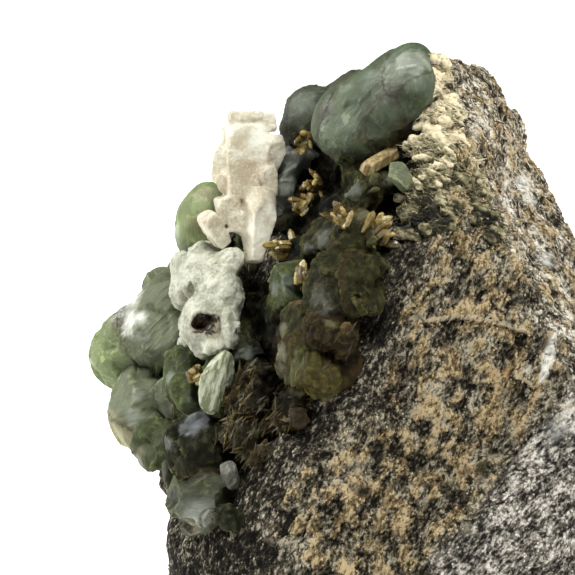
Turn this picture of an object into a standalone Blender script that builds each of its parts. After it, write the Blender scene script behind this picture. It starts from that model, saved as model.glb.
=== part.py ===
"""Prehnite specimen: a broken block of dark, fine-grained rock whose left wall carries a crust of green prehnite bosses,
white blocky crystals, tufts of yellow-brown epidote blades and a few single crystals.

Metres, +Z up. The block stands on its flat foot at z = 0, with the origin under the middle of the whole specimen.
Seen from the front (along +Y) the crystal wall is on the left, and turned a little towards the viewer.
"""

import math
import random

import bmesh
import bpy
from mathutils import Euler, Matrix, Vector, noise
from mathutils.bvhtree import BVHTree

MM = 0.001
SEAT_GAP = 0.3 * MM  # clear gap kept where one solid is cut to sit on another

# ---- the broken block, in millimetres ---------------------------------------------------------------------------------

WALL_TURN = 28.0  # degrees that the crystal wall is turned from the left towards the front
WALL_LEAN = 29.0  # degrees that the wall leans back, so that it faces upwards
WALL_REACH = 18.0  # distance of the wall's plane from the frame's origin, along its own normal

# Corners of the block as (x, y, z). Those of the foot lie below z = 0 and are cut off flat there.
CORNERS = (
    # crest
    (15.0, 1.0, 62.0), (16.5, 8.0, 62.5), (20.5, 14.0, 59.5), (13.0, 9.0, 60.5),
    # right shoulder, falling away to the back
    (22.5, 16.0, 57.0), (25.5, 18.0, 51.0), (30.0, 16.0, 42.0), (34.5, 10.0, 33.5), (37.0, 3.0, 24.0),
    # arris between the front face and the right face
    (17.5, -2.0, 56.0), (20.0, -6.0, 48.5), (23.5, -8.5, 41.5), (26.5, -11.0, 36.0), (30.5, -13.0, 28.0),
    # arris between the crystal wall and the front face
    (14.5, -8.0, 51.0), (11.0, -10.0, 46.5), (9.0, -12.0, 41.5), (5.5, -14.0, 33.0), (0.0, -14.5, 27.5),
    (-4.0, -14.0, 22.0), (-9.0, -11.5, 17.0), (-12.0, -8.0, 14.0),
    # left end and far edge of the wall
    (-14.0, 4.0, 19.5), (-14.5, 13.0, 24.0), (-13.0, 18.0, 31.0), (-6.0, 18.5, 43.0), (3.0, 15.5, 55.0),
    # back
    (-9.0, 20.0, 28.0), (0.0, 22.0, 44.0), (9.0, 20.0, 53.0), (18.0, 22.0, 44.0), (20.0, 22.0, 18.0),
    # foot
    (-11.6, -7.0, -9.0), (-3.5, -18.0, -9.0), (13.0, -21.5, -9.0), (33.0, -13.0, -9.0), (37.0, 3.0, -9.0),
    (28.0, 18.0, -9.0), (7.0, 21.5, -9.0), (-11.8, 13.0, -9.0),
    (6.0, -19.5, 14.0), (24.0, -17.5, 16.0),
)
BLOCK_VOXEL = 1.1
BLOCK_TRIANGLES = 3100
BROAD_ROUGHNESS = (1.4, 13.0)  # height and width of the broad swells of the broken faces
FINE_ROUGHNESS = (0.9, 3.6)  # height and width of the knobs and pits on them
CHIP_STEP = 1.5  # height of the steps that the back and the sides broke along
CHIP_WIDTH = 12.0
LEDGE_POINT = (18.5, 24.5)  # (x, z) on the foot-side ledge of the front face
LEDGE_WAY_OUT = (0.765, -0.644)  # (x, z) direction in which the ledge steps out
LEDGE_STEP = 1.5
RECESS_CENTRE = (8.0, -13.0, 38.0)  # hollow under the overhang of the crust
RECESS_RADIUS = 6.0
RECESS_DEPTH = 1.6

# ---- the prehnite crust, in millimetres -------------------------------------------------------------------------------

# Each boss: (x, z, out from the wall, (radii in x, y, z), tilt about y in degrees, flats cut on it)
BOSSES = {
    "crest": (7.2, 57.2, 4.0, (3.9, 4.8, 5.0), 32, 2),
    "crest_shoulder": (9.4, 59.6, 4.2, (3.2, 4.8, 4.9), 36, 2),
    "crest_twin": (11.4, 61.2, 3.6, (2.9, 4.4, 4.2), 42, 2),
    "crest_foot": (6.2, 53.8, 3.0, (2.2, 2.6, 2.4), 0, 3),
    "shade_boss": (2.3, 55.2, 2.6, (3.6, 4.4, 3.4), 30, 3),
    "shade_facet": (0.5, 50.6, 2.2, (2.6, 3.2, 2.6), 40, 5),
    "shade_low": (1.3, 46.2, 1.0, (3.2, 4.0, 3.0), 0, 3),
    "knob": (7.5, 50.4, 2.6, (2.3, 2.6, 2.3), 0, 2),
    "knob_small": (11.1, 52.0, 2.0, (1.6, 1.8, 1.5), 20, 5),
    "front_crest": (5.6, 45.2, 3.0, (4.0, 4.4, 3.7), 30, 7),
    "front_tip": (0.9, 39.6, 3.6, (2.5, 3.0, 2.8), 20, 6),
    "front_body": (4.7, 40.3, 3.1, (3.7, 3.8, 3.6), 0, 4),
    "front_foot": (2.0, 35.3, 2.6, (2.8, 3.2, 3.4), -10, 4),
    "flank_high": (-8.7, 43.4, 3.0, (3.0, 4.2, 4.3), 16, 1),
    "flank_left": (-17.2, 30.0, 3.3, (4.1, 4.8, 4.2), 0, 1),
    "flank_back": (-12.8, 34.6, 3.2, (4.2, 5.2, 4.6), 20, 4),
    "flank_mid": (-9.9, 29.7, 3.5, (2.8, 3.4, 3.1), 0, 4),
    "flank_low": (-15.6, 25.9, 2.8, (3.5, 3.8, 3.7), 0, 4),
    "flank_rim": (-15.6, 22.6, 1.6, (2.4, 2.8, 3.0), -30, 1),
    "flank_base": (-13.4, 21.9, 2.4, (2.8, 3.2, 2.8), 0, 3),
    "dark_ball": (-8.5, 24.9, 3.5, (3.6, 3.7, 3.4), 0, 3),
    "needle_boss": (-2.5, 31.3, 2.6, (3.0, 3.4, 3.0), 0, 5),
    "needle_low": (-3.2, 27.3, 2.2, (3.2, 3.2, 2.8), 0, 5),
    "needle_side": (0.6, 30.8, 1.6, (2.2, 2.4, 2.4), 0, 5),
    "bridge": (-3.8, 33.8, 1.2, (2.6, 3.0, 2.0), 0, 4),
    "under_white": (-7.6, 37.3, 1.6, (3.4, 4.6, 4.0), 0, 2),
    "under_column": (-3.8, 46.5, 1.6, (3.0, 4.4, 4.2), 10, 2),
    "foot": (-8.8, 20.5, 3.0, (3.5, 3.4, 3.0), 0, 3),
    "foot_tip": (-10.0, 18.9, 1.6, (1.8, 2.0, 1.4), 0, 2),
    # far side of the wall
    "far_high": (3.0, 54.0, 0.2, (3.0, 3.6, 3.0), 0, 3),
    "far_middle": (-3.5, 48.0, 1.0, (3.0, 3.8, 3.2), 0, 3),
    "far_low": (-9.5, 37.5, 0.8, (3.0, 4.0, 3.2), 0, 3),
}
# Lower edge of the crust on the wall, as (x, z)
RIM = (
    (-20.0, 30.0), (-15.0, 23.5), (-12.3, 18.0), (-8.7, 16.6), (-6.4, 18.7), (-3.7, 21.7), (0.2, 28.2), (6.0, 33.3),
    (8.4, 38.8), (10.0, 45.0), (11.4, 50.0), (12.2, 56.0), (13.6, 62.0), (20.0, 75.0),
)
FILL_BOSSES = 46  # smaller bosses between those above
FILL_RADIUS = (2.1, 3.1)
FILL_OUT = (-0.4, 0.8)
FILL_SPACING = 3.3
DRUSE_DOMES = 150  # low domes that join the bosses into one crust
DRUSE_RADIUS = (1.7, 2.9)
CRUST_VOXEL = 0.7
CRUST_TRIANGLES = 3600

# ---- the white crystals, in millimetres -------------------------------------------------------------------------------

# Each block: (centre x, y, z), (sizes in x, y, z), (turns about x, y, z in degrees)
COLUMN_BLOCKS = {
    "body": ((-4.5, 7.0, 51.0), (3.9, 4.2, 8.2), (-14, 3, 16)),
    "cap": ((-3.8, 8.4, 55.3), (4.3, 4.0, 1.9), (-10, -4, 24)),
    "left_lump": ((-6.7, 7.2, 50.8), (2.3, 3.4, 4.8), (-14, 10, -12)),
    "wedge": ((-2.1, 7.4, 51.4), (2.5, 3.0, 5.4), (-10, -14, 40)),
    "tail": ((-2.8, 4.2, 45.6), (2.9, 3.4, 8.2), (-18, 10, 30)),
    "tooth_inner": ((-5.4, 4.6, 46.0), (2.1, 3.0, 3.2), (-6, -8, 30)),
    "tooth_middle": ((-6.5, 5.0, 46.7), (2.2, 3.0, 3.0), (0, 24, 10)),
    "tooth_outer": ((-7.4, 4.6, 44.8), (2.0, 3.0, 3.6), (0, -26, 24)),
}
# Each lump: (x, z, out from the wall, radius)
ICING_LUMPS = {
    "top_left": (-8.5, 42.0, 5.2, 1.7),
    "top_right": (-5.9, 42.0, 5.4, 1.7),
    "shoulder": (-10.4, 39.6, 5.0, 1.5),
    "heart": (-7.3, 40.1, 5.6, 2.1),
    "left_point": (-11.2, 37.7, 4.8, 1.2),
    "right_cheek": (-5.4, 39.8, 5.4, 1.7),
    "middle": (-8.2, 37.6, 5.0, 2.7),
    "left_rib": (-10.1, 36.0, 5.2, 1.5),
    "right_rib": (-5.6, 37.4, 5.3, 1.8),
    "left_foot": (-9.2, 34.7, 5.2, 1.6),
    "middle_foot": (-7.4, 34.7, 5.3, 1.5),
    "right_foot": (-5.9, 35.7, 5.3, 1.5),
}
PIT = (-8.0, 36.9, 7.8, 1.15)  # hollow in the icing
COLUMN_TRIANGLES = 440
ICING_TRIANGLES = 440
WHITE_VOXEL = 0.4

# ---- small crystals, in millimetres -----------------------------------------------------------------------------------

# Each tuft: (x, y, z), blades, blade length
TUFTS = {
    "upper": ((1.8, 6.0, 54.0), 4, 1.8),
    "middle": ((2.7, 3.7, 49.8), 4, 1.7),
    "shadow": ((1.5, 2.5, 47.8), 3, 1.6),
    "column_foot": ((-1.0, 1.2, 43.6), 3, 1.9),
    "front_top": ((5.2, -9.0, 48.4), 4, 1.9),
    "front_side": ((8.5, -9.3, 48.2), 4, 1.8),
    "front_edge": ((10.6, -9.7, 48.2), 3, 1.8),
    "front_notch": ((1.6, -6.6, 42.2), 3, 1.8),
    "flank": ((-9.1, -1.3, 31.1), 3, 1.7),
}
TAN_PRISM = ((10.6, -2.0, 54.0), (7.5, -5.0, 52.7), 0.8)  # root, tip and radius
GREY_PRISM = ((-6.0, -11.6, 22.8), (-5.0, -13.6, 25.4), 0.7)
PALE_BLADE = ((-7.0, -8.9, 31.9), (2.9, 1.4, 5.6), (8, 24, 24))  # centre, sizes and turns

# Patches of cream druse along the arris beside the crest: (x, y, z), spread and number of lumps
CREAM_PATCHES = (
    ((14.6, 0.5, 61.6), 0.9, 8), ((15.0, -1.6, 59.6), 1.2, 10), ((14.4, -2.8, 57.4), 1.6, 14),
    ((12.6, -3.0, 55.4), 1.6, 14), ((15.2, -4.6, 54.8), 2.0, 16), ((11.8, -4.6, 53.2), 1.4, 9),
    ((15.6, -6.6, 51.6), 2.2, 18), ((12.8, -7.4, 51.2), 1.6, 12), ((12.6, -8.8, 48.8), 1.4, 9),
    ((17.6, -5.0, 51.4), 1.3, 6), ((15.2, -8.6, 49.0), 1.3, 7),
)
CREAM_RADIUS = (0.6, 1.15)
CREAM_VOXEL = 0.5
CREAM_TRIANGLES = 440


def vector(point):
    return Vector(point) * MM


def wall_normal():
    turn, lean = math.radians(WALL_TURN), math.radians(WALL_LEAN)
    return Vector((-math.cos(lean) * math.cos(turn), -math.cos(lean) * math.sin(turn), math.sin(lean)))


def on_wall(x, z, out):
    """The point with this x and z, in millimetres, that stands this far out from the wall's plane."""
    normal = wall_normal()
    y = (WALL_REACH + out - normal.x * x - normal.z * z) / normal.y
    return vector((x, y, z))


# ---- modelling tools --------------------------------------------------------------------------------------------------


def clear_scene():
    for obj in list(bpy.data.objects):
        bpy.data.objects.remove(obj)


def finish(name, colour, roughness):
    material = bpy.data.materials.new(name)
    material.use_nodes = True
    shader = material.node_tree.nodes["Principled BSDF"]
    shader.inputs["Base Color"].default_value = (*colour, 1.0)
    shader.inputs["Roughness"].default_value = roughness
    shader.inputs["Metallic"].default_value = 0.0
    material.diffuse_color = (*colour, 1.0)
    return material


def object_of(name, shape, material=None):
    """A linked object from a bmesh, which is freed."""
    mesh = bpy.data.meshes.new(name)
    shape.to_mesh(mesh)
    shape.free()
    obj = bpy.data.objects.new(name, mesh)
    bpy.context.scene.collection.objects.link(obj)
    if material:
        mesh.materials.append(material)
    return obj


def apply_modifiers(obj):
    mesh = bpy.data.meshes.new_from_object(obj.evaluated_get(bpy.context.evaluated_depsgraph_get()))
    obj.modifiers.clear()
    obj.data = mesh


def remesh(obj, voxel_mm):
    """Fuses overlapping shells into one skin of even faces."""
    modifier = obj.modifiers.new("Fuse", "REMESH")
    modifier.mode = "VOXEL"
    modifier.voxel_size = voxel_mm * MM
    apply_modifiers(obj)


def thin_out(obj, triangles):
    modifier = obj.modifiers.new("Thin", "DECIMATE")
    modifier.ratio = min(1.0, triangles / (2 * len(obj.data.polygons)))
    modifier.use_collapse_triangulate = True
    apply_modifiers(obj)


def boolean(obj, other, operation, solver="EXACT"):
    modifier = obj.modifiers.new(operation.title(), "BOOLEAN")
    modifier.operation = operation
    modifier.solver = solver
    modifier.object = other
    apply_modifiers(obj)


def keep_largest(obj):
    """Drops the loose chips that a cut can leave, so that the object is one body."""
    shape = bmesh.new()
    shape.from_mesh(obj.data)
    left, groups = set(shape.verts), []
    while left:
        group, edge = set(), {next(iter(left))}
        while edge:
            group |= edge
            edge = {e.other_vert(v) for v in edge for e in v.link_edges} - group
        groups.append(group)
        left -= group
    groups.sort(key=len)
    bmesh.ops.delete(shape, geom=[v for group in groups[:-1] for v in group], context="VERTS")
    shape.to_mesh(obj.data)
    shape.free()


def seat_cutter(obj):
    """A hidden copy of a solid, grown by the seat gap, with which its neighbours are cut."""
    shape = bmesh.new()
    shape.from_mesh(obj.data)
    shape.normal_update()
    for vert in shape.verts:
        vert.co += vert.normal * SEAT_GAP * max(1.0, min(1.6, vert.calc_shell_factor()))
    cutter = object_of(f"{obj.name}_seat", shape)
    cutter.hide_render = True
    cutter.display_type = "WIRE"
    return cutter


def seat_on(obj, cutters):
    """Cuts a piece clear of its neighbours. A grown skin can cross itself in a crease, which EXACT leaves open."""
    for cutter in cutters:
        boolean(obj, cutter, "DIFFERENCE", "MANIFOLD")
    keep_largest(obj)


def rough(obj, layers, extra=None):
    """Moves each point along its normal by noise layers of (height, width) in millimetres, and by an extra relief."""
    shape = bmesh.new()
    shape.from_mesh(obj.data)
    shape.normal_update()
    moves = []
    for vert in shape.verts:
        height = sum(
            tall * noise.noise(vert.co / (wide * MM) + Vector((7.3 * n, 1.9 * n, 4.1 * n)))
            for n, (tall, wide) in enumerate(layers, 1)
        )
        moves.append(height + (extra(vert.co / MM, vert.normal) if extra else 0.0))
    for vert, move in zip(shape.verts, moves):
        vert.co += vert.normal * move * MM
    shape.to_mesh(obj.data)
    shape.free()


def smooth_step(low, high, value):
    share = max(0.0, min(1.0, (value - low) / (high - low)))
    return share * share * (3 - 2 * share)


def add_ball(shape, centre, radii, tilt=0.0, flats=0, seed=0, divisions=3):
    """A crystal boss: a ball with low swells and a few flats, its radii in millimetres, tilted about y."""
    chance = random.Random(seed)
    made = bmesh.ops.create_icosphere(shape, subdivisions=divisions, radius=1.0)["verts"]
    planes = []
    for _ in range(flats):
        way = Vector([chance.gauss(0, 1) for _ in range(3)]).normalized()
        planes.append((way, chance.uniform(0.76, 0.9)))
    drift = Vector((seed * 3.7, seed * 1.3, seed * 2.1))
    turn = Matrix.Rotation(math.radians(tilt), 4, "Y")
    for vert in made:
        point = vert.co * (1 + 0.10 * noise.noise(vert.co * 1.6 + drift))
        for way, reach in planes:
            over = point.dot(way) - reach
            if over > 0:
                point -= way * over
        vert.co = centre + turn @ Vector(point[i] * radii[i] * MM for i in range(3))


def add_block(shape, centre, sizes, turns):
    """A crystal block with bevelled edges, its sizes in millimetres and its turns in degrees."""
    made = bmesh.ops.create_cube(shape, size=1.0)["verts"]
    turn = Euler([math.radians(angle) for angle in turns]).to_matrix()
    for vert in made:
        narrow = 0.82 if vert.co.z < 0 else 1.0
        point = Vector((vert.co.x * narrow * sizes[0], vert.co.y * narrow * sizes[1], vert.co.z * sizes[2]))
        vert.co = centre + turn @ point * MM
    edges = list({edge for vert in made for edge in vert.link_edges})
    bmesh.ops.bevel(shape, geom=edges, offset=0.14 * min(sizes) * MM, segments=1, affect="EDGES")


def add_prism(shape, root, tip, radius, sides=6, flatness=1.0, turn=0.0):
    """A crystal prism from root to tip with a blunt end, its radius in millimetres."""
    along = tip - root
    frame = along.to_track_quat("Z", "Y").to_matrix() @ Matrix.Rotation(turn, 3, "Z")
    rings = []
    for share, swell in ((0.0, 0.9), (0.8, 1.0), (1.0, 0.45)):
        ring = []
        for side in range(sides):
            angle = 2 * math.pi * (side + 0.5) / sides
            spoke = Vector((math.cos(angle), math.sin(angle) * flatness, 0)) * radius * swell * MM
            ring.append(shape.verts.new(root + along * share + frame @ spoke))
        rings.append(ring)
    for low, high in zip(rings, rings[1:]):
        for side in range(sides):
            after = (side + 1) % sides
            shape.faces.new((low[side], low[after], high[after], high[side]))
    shape.faces.new(list(reversed(rings[0])))
    shape.faces.new(rings[-1])


# ---- the pieces -------------------------------------------------------------------------------------------------------


def chipped(point):
    """A stepped swell, flat on its treads, as a height in steps."""
    value = 3.4 * noise.noise(Vector((point.x, 0.8 * point.y, 1.3 * point.z)) / CHIP_WIDTH + Vector((0.4, 5.1, 2.2)))
    tread = math.floor(value)
    return tread + smooth_step(0.38, 0.62, value - tread) - 0.5


def block_relief(point, normal):
    """Steps of the broken faces, and ledge and recess of the front face, as a height in millimetres."""
    sheltered = max(
        smooth_step(0.3, 0.8, -normal.y),
        smooth_step(0.4, 0.8, normal.dot(wall_normal())),
        smooth_step(44.0, 54.0, point.z),
    )
    chips = CHIP_STEP * (1.0 - 0.75 * sheltered) * chipped(point)
    facing = smooth_step(0.35, 0.7, -normal.y)
    across = (point.x - LEDGE_POINT[0]) * LEDGE_WAY_OUT[0] + (point.z - LEDGE_POINT[1]) * LEDGE_WAY_OUT[1]
    ledge = LEDGE_STEP * smooth_step(-1.0, 1.5, across + 1.6 * noise.noise(point / 6.0))
    near = (point - Vector(RECESS_CENTRE)).length / RECESS_RADIUS
    recess = RECESS_DEPTH * smooth_step(0.0, 1.0, 1.3 - near)
    return chips + facing * ledge - recess


def make_block(material):
    shape = bmesh.new()
    for corner in CORNERS:
        shape.verts.new(vector(corner))
    hull = bmesh.ops.convex_hull(shape, input=list(shape.verts))
    inner = [item for item in hull["geom_interior"] if isinstance(item, bmesh.types.BMVert)]
    bmesh.ops.delete(shape, geom=inner, context="VERTS")
    block = object_of("host_rock", shape)
    remesh(block, BLOCK_VOXEL)
    rough(block, (BROAD_ROUGHNESS, FINE_ROUGHNESS), block_relief)
    thin_out(block, BLOCK_TRIANGLES)
    shape = bmesh.new()
    bmesh.ops.create_cube(shape, size=1.0, matrix=Matrix.Diagonal((0.12, 0.12, 0.04, 1.0)))
    bmesh.ops.translate(shape, verts=shape.verts, vec=(0.01, 0.0, -0.02))
    below = object_of("below_foot", shape)
    below.hide_render = True
    below.display_type = "WIRE"
    boolean(block, below, "DIFFERENCE")
    keep_largest(block)
    block.data.materials.clear()
    block.data.materials.append(material)
    return block


def tree_of(obj):
    return BVHTree.FromObject(obj, bpy.context.evaluated_depsgraph_get())


def from_rim(point):
    """Distance of a point from the crust's lower edge, in millimetres, positive on the crust's side."""
    x, z = point.x / MM, point.z / MM
    for (x_low, z_low), (x_high, z_high) in zip(RIM, RIM[1:]):
        if x_low <= x <= x_high:
            across, up = x_high - x_low, z_high - z_low
            return ((z - z_low) * across - (x - x_low) * up) / math.hypot(across, up)
    return -1.0


def make_crust(block, material):
    shape = bmesh.new()
    for seed, (x, z, out, radii, tilt, flats) in enumerate(BOSSES.values(), 1):
        add_ball(shape, on_wall(x, z, out), radii, tilt, flats, seed)
    chance = random.Random(41)
    surface = tree_of(block)
    normal = wall_normal()
    centres = [on_wall(x, z, out) for x, z, out, *_ in BOSSES.values()]
    most = len(centres) + FILL_BOSSES
    while len(centres) < most:
        spot = on_wall(chance.uniform(-16, 14), chance.uniform(16, 60), chance.uniform(*FILL_OUT))
        _, facing, _, gap = surface.find_nearest(spot)
        crowded = any((spot - centre).length < FILL_SPACING * MM for centre in centres)
        radius = chance.uniform(*FILL_RADIUS)
        if crowded or gap > 3.0 * MM or facing.dot(normal) < 0.6 or from_rim(spot) < 0.9 * radius:
            continue
        add_ball(shape, spot, (radius, radius * 1.2, radius), flats=4, seed=len(centres))
        centres.append(spot)
    placed = 0
    while placed < DRUSE_DOMES:
        x, z = chance.uniform(-15.0, 15.0), chance.uniform(16.0, 61.0)
        spot, facing, _, gap = surface.find_nearest(on_wall(x, z, 0.0))
        radius = chance.uniform(*DRUSE_RADIUS)
        if gap > 5.0 * MM or facing.dot(normal) < 0.5 or from_rim(spot) < 0.5 * radius:
            continue
        add_ball(shape, spot - facing * 0.45 * radius * MM, (radius,) * 3, flats=3, seed=100 + placed, divisions=2)
        placed += 1
    crust = object_of("prehnite_crust", shape)
    remesh(crust, CRUST_VOXEL)
    thin_out(crust, CRUST_TRIANGLES)
    crust.data.materials.append(material)
    return crust


def make_column(material):
    shape = bmesh.new()
    for centre, sizes, turns in COLUMN_BLOCKS.values():
        add_block(shape, vector(centre), sizes, turns)
    column = object_of("white_column", shape)
    remesh(column, WHITE_VOXEL)
    thin_out(column, COLUMN_TRIANGLES)
    column.data.materials.append(material)
    return column


def make_icing(material):
    shape = bmesh.new()
    for seed, (x, z, out, radius) in enumerate(ICING_LUMPS.values(), 50):
        add_ball(shape, on_wall(x, z, out), (radius, radius * 1.7, radius), flats=2, seed=seed)
    icing = object_of("white_icing", shape)
    remesh(icing, WHITE_VOXEL)
    shape = bmesh.new()
    x, z, out, radius = PIT
    add_ball(shape, on_wall(x, z, out), (radius, radius * 1.2, radius), seed=77)
    pit = object_of("icing_pit", shape)
    pit.hide_render = True
    pit.display_type = "WIRE"
    boolean(icing, pit, "DIFFERENCE")
    thin_out(icing, ICING_TRIANGLES)
    icing.data.materials.append(material)
    return icing


def make_cream_druse(block, crust, material):
    shape = bmesh.new()
    chance = random.Random(5)
    surfaces = [tree_of(block), tree_of(crust)]
    for number, (middle, spread, lumps) in enumerate(CREAM_PATCHES, 2):
        for lump in range(lumps):
            aim = vector(middle) + Vector([chance.uniform(-1, 1) for _ in range(3)]) * spread * MM
            spot, facing, _, _ = min((tree.find_nearest(aim) for tree in surfaces), key=lambda found: found[3])
            radius = chance.uniform(*CREAM_RADIUS)
            radii = [radius * chance.uniform(0.8, 1.25) for _ in range(3)]
            seed = 100 * number + lump
            add_ball(shape, spot + facing * 0.2 * MM, radii, chance.uniform(-60, 60), 4, seed, 2)
    druse = object_of("cream_druse", shape)
    remesh(druse, CREAM_VOXEL)
    thin_out(druse, CREAM_TRIANGLES)
    druse.data.materials.append(material)
    return druse


def make_tuft(name, middle, blades, length, seed, surface, material):
    """A spray of flat epidote blades fused to a small root that sits on what the surface says."""
    chance = random.Random(seed)
    spot, facing, _, _ = surface.find_nearest(vector(middle))
    shape = bmesh.new()
    add_ball(shape, spot + facing * 0.2 * MM, (0.5, 0.5, 0.5), seed=seed, divisions=1)
    tuft = object_of(f"epidote_tuft_{name}", shape)
    for number in range(blades):
        way = (facing + Vector([chance.uniform(-0.75, 0.75) for _ in range(3)])).normalized()
        reach = length * chance.uniform(0.7, 1.05) * MM
        blade = bmesh.new()
        radius = 0.2 * length * chance.uniform(0.8, 1.2)
        add_prism(blade, spot, spot + way * reach, radius, 4, 0.5, chance.uniform(0, math.pi))
        other = object_of(f"blade_{name}_{number}", blade)
        boolean(tuft, other, "UNION")
        bpy.data.objects.remove(other)
    tuft.data.materials.append(material)
    return tuft


def make_prism(name, root, tip, radius, material):
    shape = bmesh.new()
    add_prism(shape, vector(root), vector(tip), radius)
    return object_of(name, shape, material)


def make_pale_blade(material):
    shape = bmesh.new()
    centre, sizes, turns = PALE_BLADE
    add_block(shape, vector(centre), sizes, turns)
    return object_of("pale_blade", shape, material)


def centre_on_origin(pieces):
    """Moves every piece so that the origin is under the middle of the specimen's box."""
    points = [piece.matrix_world @ Vector(corner) for piece in pieces for corner in piece.bound_box]
    low = Vector(min(point[i] for point in points) for i in range(3))
    high = Vector(max(point[i] for point in points) for i in range(3))
    shift = Vector((-(low.x + high.x) / 2, -(low.y + high.y) / 2, 0))
    for piece in pieces:
        piece.data.transform(Matrix.Translation(shift))
    print("centred by", [round(value / MM, 2) for value in shift])


def build():
    clear_scene()
    rock = finish("host_rock", (0.16, 0.14, 0.11), 0.85)
    green = finish("prehnite", (0.16, 0.20, 0.11), 0.3)
    white = finish("white_crystal", (0.72, 0.69, 0.58), 0.55)
    cream = finish("cream_druse", (0.45, 0.38, 0.23), 0.7)
    honey = finish("epidote", (0.26, 0.17, 0.05), 0.35)
    tan = finish("tan_crystal", (0.48, 0.36, 0.19), 0.6)
    grey = finish("grey_crystal", (0.30, 0.29, 0.24), 0.45)
    pale = finish("pale_crystal", (0.52, 0.54, 0.38), 0.45)

    block = make_block(rock)
    block_seat = seat_cutter(block)
    crust = make_crust(block, green)
    seat_on(crust, [block_seat])
    crust_seat = seat_cutter(crust)
    druse = make_cream_druse(block, crust, cream)
    seat_on(druse, [block_seat, crust_seat])
    druse_seat = seat_cutter(druse)
    column = make_column(white)
    seat_on(column, [block_seat, crust_seat])
    column_seat = seat_cutter(column)
    icing = make_icing(white)
    seat_on(icing, [block_seat, crust_seat, column_seat])
    icing_seat = seat_cutter(icing)
    pieces = [block, crust, druse, column, icing]

    surface = tree_of(crust)
    seats = [block_seat, crust_seat, druse_seat, column_seat, icing_seat]
    for seed, (name, row) in enumerate(TUFTS.items(), 300):
        tuft = make_tuft(name, *row, seed, surface, honey)
        seat_on(tuft, seats)
        pieces.append(tuft)
    singles = (
        make_prism("tan_prism", *TAN_PRISM, tan),
        make_prism("grey_prism", *GREY_PRISM, grey),
        make_pale_blade(pale),
    )
    for single in singles:
        seat_on(single, seats)
        pieces.append(single)
    centre_on_origin(pieces)


build()
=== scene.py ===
import math
import random
from collections import namedtuple

import bmesh
import bpy
import numpy as np
from mathutils import Euler, Matrix, Vector, noise
from mathutils.bvhtree import BVHTree


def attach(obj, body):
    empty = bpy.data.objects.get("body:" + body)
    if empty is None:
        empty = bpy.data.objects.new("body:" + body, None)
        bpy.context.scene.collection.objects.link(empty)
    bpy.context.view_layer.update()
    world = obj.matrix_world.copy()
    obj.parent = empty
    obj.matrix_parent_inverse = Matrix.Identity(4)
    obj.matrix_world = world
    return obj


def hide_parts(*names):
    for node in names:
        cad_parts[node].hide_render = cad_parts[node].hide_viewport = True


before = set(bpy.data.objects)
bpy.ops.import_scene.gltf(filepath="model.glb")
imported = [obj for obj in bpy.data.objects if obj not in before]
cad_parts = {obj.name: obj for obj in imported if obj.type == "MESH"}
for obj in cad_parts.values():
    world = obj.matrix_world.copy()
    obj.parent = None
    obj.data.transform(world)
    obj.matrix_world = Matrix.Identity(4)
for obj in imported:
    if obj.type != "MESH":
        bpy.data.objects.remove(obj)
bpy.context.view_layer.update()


# ==== Host rock ====
# A broken block of dark, fine-grained rock, speckled with cream and near-black grains in long streaks. Tan clumps
# stand on its front, and the right face and the foot-side ledge are weathered to grey and cream. Everything else
# grew on it.

MM = 0.001
CENTRING = Vector((-8.27, -1.45, 0.0))  # from the places below, in millimetres, to those of the finished part
SKIN_VOXEL = 0.56
SKIN_SETTLE = 6  # smoothing passes that take the flat facets off the solid
FINE_ABOVE = 5.0  # height from which the front and right faces carry the finest relief
UNDERCUT = 1.2  # how far the left side lies back below the foot of the crust
UNDERCUT_TOP = (17.0, 19.5)  # heights between which it ends
UNDERCUT_SIDE = (-13.0, -4.0)  # x between which it ends
CRUST_OVER = 1.5  # how far above its lower edge the crust surely hides the rock
# Degrees that the streaks lean on the front, below the ledge and on the right face
STREAK_LEAN = (25.0, 45.0, -35.0)
STREAK_STRETCH = 0.55  # a grain's width for its length
ROCK_RELIEF = {
    "Grain Width": 0.42, "Grain Height": 0.6, "Clump Width": 1.35,
    "Clump Height": 0.5, "Swell Width": 3.6, "Swell Height": 1.7,
}
CLUMP_ON_TAN, CLUMP_ON_SWELL = 0.22, 0.25  # how much more clumps grow where the rock is tan, and on its swells
CLUMP_EDGE = (0.69, 0.78)  # noise at the foot and at the top of a clump
SHOWN_WAY = np.array((0.35, -0.92, 0.2))  # the front and right faces that carry the finest relief face this way
# The crystal wall: degrees turned to the front, degrees leaning back, distance from the middle
WALL_TURN, WALL_LEAN, WALL_REACH = 28.0, 29.0, 18.0
LEDGE_POINT = (18.5, 24.5)
LEDGE_WAY_OUT = (0.765, -0.644)
# Lower edge of the crust, and the arris between the front and the right face, as (x, z)
RIM = (
    (-20.0, 30.0), (-15.0, 23.5), (-12.3, 18.0), (-8.7, 16.6), (-6.4, 18.7), (-3.7, 21.7), (0.2, 28.2),
    (6.0, 33.3), (8.4, 38.8), (10.0, 45.0), (11.4, 50.0), (12.2, 56.0), (13.6, 62.0), (20.0, 75.0),
)
ARRIS = ((36.0, 10.0), (30.5, 28.0), (26.5, 36.0), (23.5, 41.5), (20.0, 48.5), (17.5, 56.0), (16.0, 64.0))
ARRIS_WANDER, WANDERS_PER_MM = 1.6, 0.45  # how far the weathering's edge strays from the arris, and how often
VEINS = (
    ((13.2, 39.3), (16.2, 39.6), (17.5, 39.5), (19.2, 39.0), (20.6, 38.8), (23.0, 38.0)),
    ((21.9, 34.1), (23.7, 33.0)),
)
VEIN_WIDTH = 0.2
VEIN_HEIGHT = 0.16
VEIN_REACH = 0.5  # the skin is finest this near to a vein
VEIN_SHADE_DROP = 0.4  # a painted shadow runs this far below each vein
PATCH_MIDDLE = (25.2, 35.6)  # a pale spear-shaped scale beside the arris
PATCH_LEAN = 17.0
PATCH_HALVES = (0.6, 2.7)

# Tones of the dark zone: darker rock, with painted shade under the crust's lower edge and on the lower left of the
# front
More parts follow.
